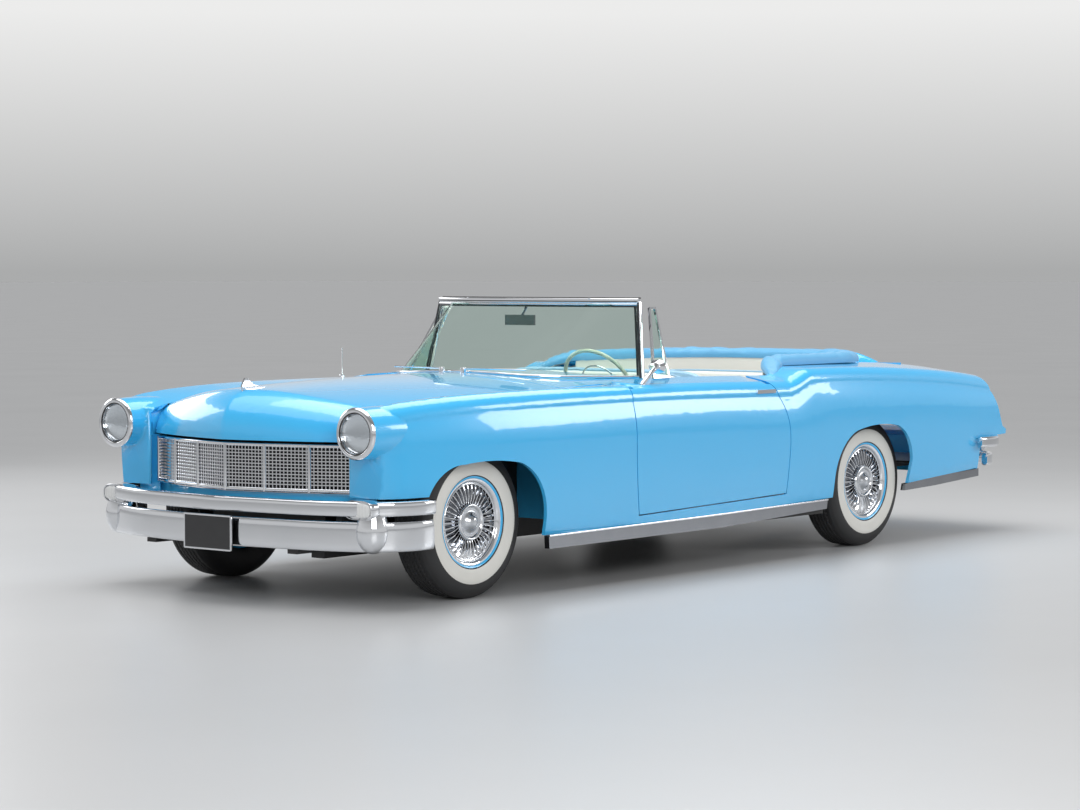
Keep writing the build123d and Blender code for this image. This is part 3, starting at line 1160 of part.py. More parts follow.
# ---- exhaust and fuel tank ----------------------------------------------------------------------
PIPE = 26.0
PIPE_Y = -340.0
PIPE_Z = 190.0
with BuildPart() as exhaust:
    with Locations(Location(((front(-500) + tail(330)) / 2, PIPE_Y, PIPE_Z), (0, 90, 0))):
        Cylinder(PIPE, front(-500) - tail(330))
    with Locations(Location(((front(-1500) + front(-2100)) / 2, PIPE_Y + 30, PIPE_Z), (0, 90, 0))):
        Cylinder(58, 600)
    for x in (front(-600), rear(560), rear(-520)):
        top = RAIL_TOP - RAIL_DEPTH if x > rear(0) + 400 else TRUNK_FLOOR - 62
        add(box_between((x - 8, PIPE_Y - 60, PIPE_Z - 6), (x + 8, PIPE_Y, PIPE_Z + 6)))
        add(box_between((x - 8, PIPE_Y - 60, PIPE_Z - 6), (x + 8, PIPE_Y - 48, top - SEAT_GAP)))
    with Locations(Location(((front(-500) + tail(330)) / 2, PIPE_Y, PIPE_Z), (0, 90, 0))):
        Cylinder(PIPE - 4, front(-500) - tail(330) + 2, mode=Mode.SUBTRACT)
save(exhaust, "exhaust")

with BuildPart() as fuel_tank:
    add(box_between((tail(480), -290, 250), (rear(-530), 290, TRUNK_FLOOR - SEAT_GAP)))
    fillet(fuel_tank.edges().filter_by(Axis.X), radius=30)
save(fuel_tank, "fuel_tank")

# ---- steering -----------------------------------------------------------------------------------
STEER_CENTRE = (front(-1500), 380.0, 905.0)
STEER_TILT = 30.0
STEER_RADIUS = 206.0
STEER_GRIP = 10.0
steer_axis = (-math.cos(math.radians(STEER_TILT)), 0, math.sin(math.radians(STEER_TILT)))
steer_plane = Plane(origin=STEER_CENTRE, x_dir=(0, 1, 0), z_dir=steer_axis)
with BuildPart() as steering_wheel:
    with BuildSketch(Plane(origin=STEER_CENTRE, x_dir=(0, 1, 0), z_dir=(steer_plane.y_dir.X, 0, steer_plane.y_dir.Z))):
        with Locations((STEER_RADIUS, 0)):
            Circle(STEER_GRIP)
    revolve(axis=Axis(STEER_CENTRE, steer_axis))
    with Locations(steer_plane.offset(-42)):
        Cylinder(34, 50, align=(Align.CENTER, Align.CENTER, Align.MIN))
    with Locations(steer_plane.offset(-12)):
        Box(2 * STEER_RADIUS, 24, 10)
save(steering_wheel, "steering_wheel")

COLUMN = 22.0
with BuildPart() as steering_column:
    with Locations(steer_plane.offset(-42 - SEAT_GAP)):
        Cylinder(COLUMN, 860, align=(Align.CENTER, Align.CENTER, Align.MAX))
    add(box_between((FIREWALL_X - FIREWALL - SEAT_GAP, 200, 100), (front(0), 600, 1000)), mode=Mode.SUBTRACT)
    add(box_between((front(-1262), 350, 780), (front(-1200), 410, DASH_BOTTOM - SEAT_GAP)))
save(steering_column, "steering_column")

# ---- mirror, wipers and aerial ------------------------------------------------------------------
with BuildPart() as inside_mirror:
    with Locations((front(-1330), 0, 1234)):
        Box(14, 190, 52)
    with BuildSketch(side_plane(-5)) as stalk:
        with BuildLine():
            Polyline((front(-1334), 1234), (front(-1324), 1234), (front(-1388), SCREEN_TOP_Z - SEAT_GAP),
                     (front(-1398), SCREEN_TOP_Z - SEAT_GAP), close=True)
        make_face()
    extrude(amount=-10)
save(inside_mirror, "inside_mirror")

WIPER_Y = 70.0             # pivots of the wipers, beside the middle
with BuildPart() as wipers:
    for side in (1, -1):
        with Locations((front(-812), side * WIPER_Y, 974)):
            Cylinder(14, 36, align=(Align.CENTER, Align.CENTER, Align.MIN))
        with Locations(Location((front(-812), side * WIPER_Y, 1004), (0, 0, side * 98))):
            Box(360, 12, 7, align=(Align.MIN, Align.CENTER, Align.CENTER))
    with Locations((front(-866), -800, 900)):
        Cylinder(12, 56, align=(Align.CENTER, Align.CENTER, Align.MIN))
        Cylinder(4, 190, align=(Align.CENTER, Align.CENTER, Align.MIN))
    for panel in (cowl, fender_right, windscreen_glass):
        add(panel.part, mode=Mode.SUBTRACT)
    for low in wipers.solids().sort_by(Axis.Z):
        if low.bounding_box().max.Z < 950:
            add(low, mode=Mode.SUBTRACT)
save(wipers, "wipers")

# ---- vent windows, handles and mirror of the doors ----------------------------------------------
VENT_LOW_Y = 812.0
VENT_TOP_Y = 680.0
VENT_LOW_Z = 954.0
VENT_TOP_Z = 1300.0
VENT_FRAME = 12.0
vent_rise = math.hypot(VENT_LOW_Y - VENT_TOP_Y, VENT_TOP_Z - VENT_LOW_Z)
vent_lean = Vector(0, VENT_TOP_Y - VENT_LOW_Y, VENT_TOP_Z - VENT_LOW_Z).normalized()
vent_plane = Plane(
    origin=(front(-1372), VENT_LOW_Y, VENT_LOW_Z), x_dir=(-1, 0, 0), z_dir=Vector(-1, 0, 0).cross(vent_lean)
)
VENT_POINTS = [(0, 0), (132, 0), (190, vent_rise), (136, vent_rise)]
for side_name, side, door in (("left", 1, door_left), ("right", -1, door_right)):
    with BuildPart() as vent_frame:
        with BuildSketch(vent_plane):
            with BuildLine():
                Polyline(*VENT_POINTS, close=True)
            make_face()
            offset(amount=-VENT_FRAME, mode=Mode.SUBTRACT, kind=Kind.INTERSECTION)
        extrude(amount=VENT_FRAME / 2, both=True)
        # pull handle near the rear edge
        add(box_between((front(-2195), 955, 862), (front(-2035), 969, 880)))
        for x in (front(-2180), front(-2050)):
            add(box_between((x - 9, 925, 864), (x + 9, 960, 878)))
        if side > 0:
            with BuildSketch(cross_plane(front(-1290))) as head:
                with Locations((902, 1018)):
                    Ellipse(52, 34)
            with BuildSketch(cross_plane(front(-1262))) as nose:
                with Locations((902, 1018)):
                    Ellipse(34, 20)
            loft(sections=[head.sketch, nose.sketch])
            stalk = side_polygon(896, [
                (front(-1166), 925), (front(-1140), 925), (front(-1262), 1018), (front(-1288), 1010),
            ])
            add(side_cut(stalk, 896, 908))
        if side < 0:
            mirrored = mirror(vent_frame.part, about=Plane.XZ, mode=Mode.PRIVATE)
            add(vent_frame.part, mode=Mode.SUBTRACT)
            add(mirrored)
        add(door.part, mode=Mode.SUBTRACT)
    save(vent_frame, f"door_brightwork_{side_name}")
    with BuildPart() as vent_glass:
        with BuildSketch(vent_plane):
            with BuildLine():
                Polyline(*VENT_POINTS, close=True)
            make_face()
            offset(amount=-VENT_FRAME - SEAT_GAP, kind=Kind.INTERSECTION, mode=Mode.REPLACE)
        extrude(amount=2.5, both=True)
        if side < 0:
            mirrored = mirror(vent_glass.part, about=Plane.XZ, mode=Mode.PRIVATE)
            add(vent_glass.part, mode=Mode.SUBTRACT)
            add(mirrored)
    save(vent_glass, f"vent_glass_{side_name}")
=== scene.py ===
"""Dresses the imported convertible: paint, brightwork, glass, tyres, trim, studio and camera."""
import json
import logging
import math
from collections.abc import Callable, Sequence
from dataclasses import dataclass
from enum import Enum

import bmesh
import bpy
import numpy as np
from mathutils import Matrix, Vector


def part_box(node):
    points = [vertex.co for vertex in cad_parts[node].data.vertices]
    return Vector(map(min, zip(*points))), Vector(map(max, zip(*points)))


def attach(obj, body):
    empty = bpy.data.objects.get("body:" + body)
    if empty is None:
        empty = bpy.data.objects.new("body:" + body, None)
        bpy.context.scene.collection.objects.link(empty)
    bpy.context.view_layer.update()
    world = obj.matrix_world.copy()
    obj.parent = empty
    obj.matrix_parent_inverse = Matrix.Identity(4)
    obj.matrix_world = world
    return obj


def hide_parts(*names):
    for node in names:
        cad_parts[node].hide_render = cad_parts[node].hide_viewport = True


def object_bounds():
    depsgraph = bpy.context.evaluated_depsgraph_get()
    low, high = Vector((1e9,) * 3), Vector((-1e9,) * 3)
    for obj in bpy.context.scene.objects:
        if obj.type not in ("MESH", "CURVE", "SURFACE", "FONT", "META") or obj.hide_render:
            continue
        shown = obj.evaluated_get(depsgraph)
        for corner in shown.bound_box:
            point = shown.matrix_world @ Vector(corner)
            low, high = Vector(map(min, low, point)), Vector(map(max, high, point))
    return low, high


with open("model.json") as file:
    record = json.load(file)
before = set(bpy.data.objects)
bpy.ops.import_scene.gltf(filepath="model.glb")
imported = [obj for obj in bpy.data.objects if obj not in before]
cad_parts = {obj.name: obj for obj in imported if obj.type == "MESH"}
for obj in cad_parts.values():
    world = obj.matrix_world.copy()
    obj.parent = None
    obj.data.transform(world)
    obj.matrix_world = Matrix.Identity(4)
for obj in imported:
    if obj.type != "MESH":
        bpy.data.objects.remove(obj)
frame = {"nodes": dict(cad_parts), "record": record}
CAD_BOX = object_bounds()
LOG = logging.getLogger("convertible")
Array = np.ndarray
Pair = tuple[float, float]
Triple = tuple[float, float, float]
Shape = tuple[Array, Array | list]  # points in metres in the frame, and the point numbers of each face
AHEAD, ASIDE, UP = (1.0, 0.0, 0.0), (0.0, 1.0, 0.0), (0.0, 0.0, 1.0)


# ---- driving sizes, in metres, read from the frame ----------------------------------------------
def node_middle(node: str) -> Array:
    """Middle of a CAD node's box."""
    return np.mean(np.array(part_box(node)), axis=0)


FRONT_AXLE = node_middle("tyre_front_left")
REAR_AXLE = node_middle("tyre_rear_left")
TYRE_RADIUS = (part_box("tyre_front_left")[1][2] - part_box("tyre_front_left")[0][2]) / 2
TAIL_X = CAD_BOX[0][0]
RIM_RADIUS = 0.204
TYRE_HALF = 0.102


def front(distance: float) -> float:
    """X of a station this far ahead of the front axle."""
    return float(FRONT_AXLE[0]) + distance


def rear(distance: float) -> float:
    """X of a station this far ahead of the rear axle."""
    return float(REAR_AXLE[0]) + distance


def tail(distance: float) -> float:
    """X of a station this far ahead of the rear bumper's tip."""
    return float(TAIL_X) + distance


def from_front(points: Sequence[Triple]) -> Array:
    """Points whose X is given ahead of the front axle."""
    return np.array(points) + [front(0.0), 0.0, 0.0]


class Side(Enum):
    """The two sides of the car; the value is the sign of Y."""

    LEFT = 1
    RIGHT = -1

    @property
    def word(self) -> str:
        """Side as it stands in node names."""
        return self.name.lower()


# ---- finishes -----------------------------------------------------------------------------------
class Grain(Enum):
    """Kinds of fine relief a finish can have."""

    NONE = "none"
    NOISE = "noise"
    PEBBLE = "pebble"
    WEAVE = "weave"
    BRUSHED = "brushed"


BRUSH_STRETCH = (0.05, 1.0, 1.0)
BUMP_STRENGTH = 0.35


def filled(node: bpy.types.Node, values: dict[str, object]) -> bpy.types.Node:
    """A shader node with the named inputs set."""
    for name, value in values.items():
        node.inputs[name].default_value = value
    return node


@dataclass(frozen=True)
class Finish:
    """A surface finish: base colour with slow variation, gloss with slow variation, and fine relief.

    The colour is the base colour mixed with the second one by a soft noise. The roughness runs
    between its two values by the same noise. The relief comes from the grain's own pattern.
    """

    name: str
    slot: str
    colour: Triple
    shade: Triple
    mottle: float
    roughness: Pair
    metallic: float = 0.0
    coat: float = 0.0
    coat_roughness: float = 0.03
    transmission: float = 0.0
    ior: float = 1.5
    sheen: float = 0.0
    grain: Grain = Grain.NONE
    grain_scale: float = 400.0
    grain_depth: float = 0.0002

    def material(self) -> bpy.types.Material:
        """The finish's material, made on first use."""
        found = bpy.data.materials.get(self.name)
        if found:
            return found
        made = bpy.data.materials.new(self.name)
        made.use_nodes = True
        nodes, links = made.node_tree.nodes, made.node_tree.links
        shader = filled(nodes["Principled BSDF"], {
            "Metallic": self.metallic, "Coat Weight": self.coat, "Coat Roughness": self.coat_roughness,
            "Transmission Weight": self.transmission, "IOR": self.ior, "Sheen Weight": self.sheen})
        place = nodes.new("ShaderNodeTexCoord").outputs["Object"]
        drift = filled(nodes.new("ShaderNodeTexNoise"), {"Scale": self.mottle, "Detail": 3.0})
        links.new(place, drift.inputs["Vector"])
        tint = nodes.new("ShaderNodeMix")
        tint.data_type = "RGBA"
        filled(tint, {"A": (*self.colour, 1.0), "B": (*self.shade, 1.0)})
        links.new(drift.outputs["Fac"], tint.inputs["Factor"])
        links.new(tint.outputs["Result"], shader.inputs["Base Color"])
        low, high = self.roughness
        gloss = filled(nodes.new("ShaderNodeMapRange"), {"To Min": low, "To Max": high})
        links.new(drift.outputs["Fac"], gloss.inputs["Value"])
        links.new(gloss.outputs["Result"], shader.inputs["Roughness"])
        if self.grain is not Grain.NONE:
            self._relief(made.node_tree, place, shader)
        return made

    def _relief(self, tree: bpy.types.NodeTree, place: bpy.types.NodeSocket, shader: bpy.types.Node) -> None:
        """Adds the grain's bump to the shader."""
        nodes, links = tree.nodes, tree.links
        if self.grain is Grain.WEAVE:
            patterns = [nodes.new("ShaderNodeTexWave") for _ in range(2)]
            patterns[1].bands_direction = "Y"
            product = nodes.new("ShaderNodeMath")
            product.operation = "MULTIPLY"
            for pattern, term in zip(patterns, product.inputs):
                links.new(pattern.outputs["Fac"], term)
            height = product.outputs[0]
        elif self.grain is Grain.PEBBLE:
            patterns = [nodes.new("ShaderNodeTexVoronoi")]
            height = patterns[0].outputs["Distance"]
        else:
            patterns = [nodes.new("ShaderNodeTexNoise")]
            height = patterns[0].outputs["Fac"]
        if self.grain is Grain.BRUSHED:
            stretch = filled(nodes.new("ShaderNodeMapping"), {"Scale": BRUSH_STRETCH})
            links.new(place, stretch.inputs["Vector"])
            place = stretch.outputs["Vector"]
        for pattern in patterns:
            links.new(place, filled(pattern, {"Scale": self.grain_scale}).inputs["Vector"])
        bump = filled(nodes.new("ShaderNodeBump"), {"Strength": BUMP_STRENGTH, "Distance": self.grain_depth})
        links.new(height, bump.inputs["Height"])
        links.new(bump.outputs["Normal"], shader.inputs["Normal"])


PAINT = Finish("sky_blue_enamel", "body_paint", (0.048, 0.495, 0.91), (0.052, 0.505, 0.93), 1.5,
               (0.22, 0.26), coat=1.0, coat_roughness=0.02, grain=Grain.NOISE, grain_scale=60.0, grain_depth=0.0001)
CHROME = Finish("polished_chrome", "bright_chrome", (0.80, 0.81, 0.83), (0.74, 0.76, 0.79), 6.0,
                (0.03, 0.08), metallic=1.0)
SATIN_METAL = Finish("satin_metal", "wheel_metal", (0.62, 0.64, 0.67), (0.52, 0.54, 0.57), 12.0,
                     (0.22, 0.32), metallic=1.0, grain=Grain.BRUSHED, grain_scale=900.0)
GLASS = Finish("green_tinted_glass", "tinted_glass", (0.78, 0.92, 0.86), (0.76, 0.91, 0.85), 2.0,
               (0.0, 0.01), transmission=1.0, ior=1.05)
LENS = Finish("pressed_lens", "clear_lens", (0.93, 0.95, 0.96), (0.90, 0.93, 0.95), 30.0,
              (0.02, 0.06), transmission=1.0, ior=1.3, grain=Grain.PEBBLE, grain_scale=110.0, grain_depth=0.0012)
FROSTED_LENS = Finish("frosted_lens", "clear_lens", (0.80, 0.81, 0.80), (0.70, 0.71, 0.71), 40.0,
                      (0.10, 0.18), coat=1.0)
RED_LENS = Finish("red_lamp_lens", "red_lens", (0.42, 0.01, 0.012), (0.30, 0.008, 0.01), 40.0,
                  (0.06, 0.12), coat=1.0, grain=Grain.PEBBLE, grain_scale=260.0)
RUBBER = Finish("tyre_black", "tyre_rubber", (0.018, 0.018, 0.019), (0.03, 0.03, 0.031), 20.0,
                (0.45, 0.62), grain=Grain.NOISE, grain_scale=700.0, grain_depth=0.0003)
WHITEWALL = Finish("whitewall_rubber", "tyre_rubber", (0.80, 0.79, 0.75), (0.72, 0.71, 0.66), 9.0,
                   (0.42, 0.55), grain=Grain.NOISE, grain_scale=500.0)
UNDERBODY = Finish("underbody_black", "black_steel", (0.012, 0.012, 0.013), (0.022, 0.021, 0.020), 8.0,
                   (0.45, 0.65), grain=Grain.NOISE, grain_scale=140.0, grain_depth=0.0005)
# Dark chrome on the sill trims, inside mirror and pillar posts; on the wheel covers' dishes its darkness is painted
# shade between the vanes.
DARK_CHROME_AND_SHADE = Finish("dark_chrome_and_painted_shade", "bright_chrome", (0.30, 0.31, 0.33), (0.24, 0.25, 0.27), 10.0,
                     (0.05, 0.12), metallic=1.0)
CASTING = Finish("rough_casting", "cast_block", (0.10, 0.11, 0.12), (0.06, 0.065, 0.07), 14.0,
                 (0.5, 0.7), metallic=0.4, grain=Grain.NOISE, grain_scale=260.0, grain_depth=0.0006)
EXHAUST = Finish("exhaust_steel", "exhaust_steel", (0.30, 0.28, 0.26), (0.20, 0.17, 0.14), 7.0,
                 (0.35, 0.5), metallic=1.0, grain=Grain.NOISE, grain_scale=300.0)
CREAM = Finish("cream_leather", "cream_leather", (0.74, 0.72, 0.63), (0.68, 0.66, 0.57), 5.0,
               (0.38, 0.5), sheen=0.1, grain=Grain.PEBBLE, grain_scale=330.0, grain_depth=0.0004)
BLUE_HIDE = Finish("blue_leather", "blue_leather", (0.10, 0.36, 0.60), (0.08, 0.31, 0.54), 5.0,
                   (0.36, 0.48), grain=Grain.PEBBLE, grain_scale=330.0, grain_depth=0.0004)
BOOT_CLOTH = Finish("boot_vinyl", "blue_cloth", (0.11, 0.40, 0.66), (0.09, 0.35, 0.60), 4.0,
                    (0.4, 0.52), sheen=0.15, grain=Grain.WEAVE, grain_scale=260.0, grain_depth=0.0003)
IVORY = Finish("ivory_plastic", "cream_plastic", (0.78, 0.75, 0.62), (0.74, 0.70, 0.57), 8.0,
               (0.18, 0.26), coat=0.4)
IVORY_PAINT = Finish("ivory_enamel", "cream_paint", (0.76, 0.74, 0.64), (0.72, 0.70, 0.60), 6.0,
                     (0.2, 0.3), coat=0.6)
PLATE_BLACK = Finish("plate_black", "black_plate", (0.012, 0.012, 0.014), (0.02, 0.02, 0.022), 16.0,
                     (0.3, 0.4), coat=0.3)
CARPET = Finish("blue_carpet", "blue_leather", (0.07, 0.22, 0.36), (0.05, 0.17, 0.30), 30.0,
                (0.85, 0.95), sheen=0.4, grain=Grain.NOISE, grain_scale=900.0, grain_depth=0.002)
FLOOR = Finish("pale_floor", "", (0.50, 0.505, 0.51), (0.47, 0.475, 0.48), 0.8, (0.34, 0.40))


# ---- meshes -------------------------------------------------------------------------------------
def shown(name: str, data: bpy.types.ID) -> bpy.types.Object:
    """A mesh, lamp or camera put in the scene as an object."""
    made = bpy.data.objects.new(name, data)
    bpy.context.scene.collection.objects.link(made)
    return made


def add_piece(name: str, shape: Shape, finish: Finish, body: str = "body", replaced: Sequence[str] = (),
              smooth: float | None = 35.0) -> bpy.types.Object:
    """Makes an object from a shape, dresses it and fixes it to a body.

    Args:
        name: name of the piece.
        shape: its points and faces.
        finish: its finish.
        body: CAD body it rides on.
        replaced: CAD nodes that it stands for.
        smooth: edges sharper than this many degrees stay sharp; None keeps all faces flat.

    Returns:
        The new object.
    """
    points, faces = shape
    mesh = bpy.data.meshes.new(name)
    mesh.from_pydata(np.asarray(points).reshape(-1, 3).tolist(), [], [list(face) for face in faces])
    mesh.update()
    piece = shown(name, mesh)
    mesh.materials.append(finish.material())
    if smooth is not None:
        mesh.shade_smooth()
        mesh.set_sharp_from_angle(angle=math.radians(smooth))
    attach(piece, body)
    if replaced:
        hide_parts(*replaced)
    LOG.info("%s: %d faces", name, len(mesh.polygons))
    return piece


def grid_faces(rows: int, columns: int, wrap_rows: bool = False, wrap_columns: bool = False) -> Array:
    """Quads between the neighbours of a grid of points numbered row by row."""
    i, j = np.meshgrid(np.arange(rows - (not wrap_rows)), np.arange(columns - (not wrap_columns)), indexing="ij")
    k, m = (i + 1) % rows, (j + 1) % columns
    quads = np.stack([i * columns + j, k * columns + j, k * columns + m, i * columns + m], axis=-1)
    return quads.reshape(-1, 4)


def capped(points: Array, flipped: bool = False) -> Shape:
    """Skin over a row of rings of points, with the first and the last ring filled in.

    Args:
        points: the rings, indexed by ring, place round the ring, and X, Y or Z.
        flipped: turns each face over.

    Returns:
        The closed skin.
    """
    rings, count = points.shape[:2]
    faces = grid_faces(rings, count, wrap_columns=True).tolist()
    faces += [list(range(count))[::-1], list(range((rings - 1) * count, rings * count))]
    return points.reshape(-1, 3), [face[::-1] for face in faces] if flipped else faces


def join(parts: Sequence[Shape]) -> Shape:
    """Puts several shapes into one, renumbering the faces."""
    verts, faces, start = [], [], 0
    for points, quads in parts:
        flat = np.asarray(points).reshape(-1, 3)
        verts.append(flat)
        faces.extend([number + start for number in face] for face in quads)
        start += len(flat)
    return np.concatenate(verts), faces


def mirrored(points: Array, side: Side) -> Array:
    """Points moved to a side by changing the sign of Y; the left side stays as it is."""
    return np.asarray(points) * [1.0, side.value, 1.0]


def turned_out(quads: Array, side: Side) -> Array:
    """Faces with their order turned round on the right, to look the same way as those on the left."""
    return quads if side is Side.LEFT else np.asarray(quads)[:, ::-1]


def both_sides(half: Array) -> Array:
    """Path from right to left, from its left half, which runs outwards from the middle."""
    return np.vstack([half[::-1] * [1, -1, 1], half[1:]])


def tilted(points: Array, degrees: float) -> Array:
    """Points turned about Y by an angle that lowers the front."""
    c, s = math.cos(math.radians(degrees)), math.sin(math.radians(degrees))
    return points @ np.array([[c, 0, s], [0, 1, 0], [-s, 0, c]]).T


def placed(shape: Shape, centre: Sequence[float], side: Side = Side.LEFT, tilt: float = 0.0) -> Shape:
    """A shape tilted, moved to a place on the left, and mirrored for the right."""
    points, faces = shape
    return mirrored(tilted(points, tilt) + centre, side), turned_out(faces, side)


def turned(profile: Sequence[Pair], centre: Sequence[float], axis: Sequence[float], start: Triple,
           segments: int) -> Shape:
    """Turns a closed profile of (distance d along the axis, radius r) once round the axis.

    Each point is centre + d axis + r (cos a start + sin a (axis x start)), for a turn a from start.
    """
    along, radius = np.array(profile).T[..., None]
    angle = np.linspace(0, 2 * np.pi, segments, endpoint=False)[:, None, None]
    arm = np.cos(angle) * np.array(start) + np.sin(angle) * np.cross(axis, start)
    points = along * np.array(axis) + radius * arm + np.array(centre)
    return points, grid_faces(segments, len(radius), wrap_rows=True, wrap_columns=True)


def shell(line: Array, thick: float) -> Array:
    """Closed profile of a wall: its outer line, and back along the same line, set in along the axis."""
    return np.vstack([line, line[::-1] - [thick, 0.0]])


def curve_through(points: Sequence[Sequence[float]], count: int) -> Array:
    """Points along a smooth curve through the given ones, evenly spread between each two (Catmull-Rom)."""
    knots = np.asarray(points, dtype=float)
    padded = np.vstack([2 * knots[0] - knots[1], knots, 2 * knots[-1] - knots[-2]])
    t = np.linspace(0, len(knots) - 1, count)
    k = np.minimum(t.astype(int), len(knots) - 2)
    u = (t - k)[:, None]
    a, b, c, d = (padded[k + i] for i in range(4))
    return 0.5 * (2 * b + (c - a) * u + (2 * a - 5 * b + 4 * c - d) * u**2 + (3 * b - a - 3 * c + d) * u**3)


def unit(rows: Array) -> Array:
    """Rows scaled to a length of one."""
    return rows / np.linalg.norm(rows, axis=1, keepdims=True)


def swept(path: Array, profile: Array, up: Triple = UP) -> Shape:
    """Carries a closed profile of (sideways, up) along a path, and closes its ends.

    At each path point the side direction is the path's direction crossed with up, and a profile
    point lies at path + sideways * side + height * up'.
    """
    path = np.asarray(path, dtype=float)
    ahead = unit(np.gradient(path, axis=0))
    aside = unit(np.cross(ahead, np.array(up)))
    above = np.cross(aside, ahead)
    points = path[:, None] + profile[:, :1] * aside[:, None] + profile[:, 1:] * above[:, None]
    return capped(points, flipped=True)


def bent(value: Array, power: float) -> Array:
    """Each value's size raised to a power, its sign kept."""
    return np.sign(value) * np.abs(value) ** power


def rounded_box(half_wide: float, half_high: float, power: float = 4.0, count: int = 28) -> Array:
    """Closed profile between an ellipse and a rectangle: |x/a|^p + |y/b|^p = 1."""
    angle = np.linspace(0, 2 * np.pi, count, endpoint=False)
    return np.stack([half_wide * bent(np.cos(angle), 2 / power), half_high * bent(np.sin(angle), 2 / power)], -1)


def block(centre: Array, half: Triple) -> Shape:
    """Box with a centre and half sizes."""
    signs = np.array([(-1, -1, -1), (1, -1, -1), (1, 1, -1), (-1, 1, -1), (-1, -1, 1), (1, -1, 1), (1, 1, 1),
                      (-1, 1, 1)])
    faces = [[0, 3, 2, 1], [4, 5, 6, 7], [0, 1, 5, 4], [1, 2, 6, 5], [2, 3, 7, 6], [3, 0, 4, 7]]
    return signs * half + centre, faces


def pillow(half: Triple, power: float = 5.0, rows: int = 40, columns: int = 72) -> Shape:
    """Closed pillow: a superellipsoid, each coordinate a signed power of a sphere's."""
    lat = np.linspace(-np.pi / 2, np.pi / 2, rows)[:, None]
    lon = np.linspace(0, 2 * np.pi, columns, endpoint=False)[None]
    bend = 2 / power
    x = half[0] * bent(np.cos(lat), bend) * bent(np.cos(lon), bend)
    y = half[1] * bent(np.cos(lat), bend) * bent(np.sin(lon), bend)
    z = half[2] * bent(np.sin(lat), bend) * np.ones_like(lon)
    return np.stack([x, y, z], -1).reshape(-1, 3), grid_faces(rows, columns, wrap_columns=True)


def lined(mesh: bpy.types.Mesh, linings: "Sequence[Lining]") -> None:
    """Gives the faces that each lining's test picks the lining's finish."""
    count = len(mesh.polygons)
    centres, normals = np.empty(count * 3), np.empty(count * 3)
    mesh.polygons.foreach_get("center", centres)
    mesh.polygons.foreach_get("normal", normals)
    index = np.zeros(count, dtype=np.int32)
    for number, lining in enumerate(linings, 1):
        mesh.materials.append(lining.finish.material())
        index[lining.test(centres.reshape(-1, 3), normals.reshape(-1, 3))] = number
    mesh.polygons.foreach_set("material_index", index)


def dressed_node(node: str, finish: Finish, linings: "Sequence[Lining]" = (), smooth: float = 30.0) -> None:
    """Makes a smooth-shaded copy of a CAD node, its loose triangles merged, that stands for the node.

    Args:
        node: CAD node to copy.
        finish: the copy's finish.
        linings: further finishes, each for some of its faces.
        smooth: edges sharper than this many degrees stay sharp.
    """
    mesh = frame["nodes"][node].data.copy()
    work = bmesh.new()
    work.from_mesh(mesh)
    bmesh.ops.remove_doubles(work, verts=work.verts, dist=1e-5)
    work.to_mesh(mesh)
    work.free()
    mesh.materials.clear()
    mesh.materials.append(finish.material())
    mesh.shade_smooth()
    mesh.set_sharp_from_angle(angle=math.radians(smooth))
    lined(mesh, linings)
    piece = shown(f"{node}.finished", mesh)
    piece.modifiers.new("even", "WEIGHTED_NORMAL").keep_sharp = True
    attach(piece, body_name(node))
    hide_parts(node)
    LOG.info("%s dressed", node)


def body_name(node: str) -> str:
    """CAD body that a node belongs to."""
    for body, nodes in frame["record"]["behaviour"]["bodies"].items():
        if node in nodes:
            return body
    raise KeyError(node)


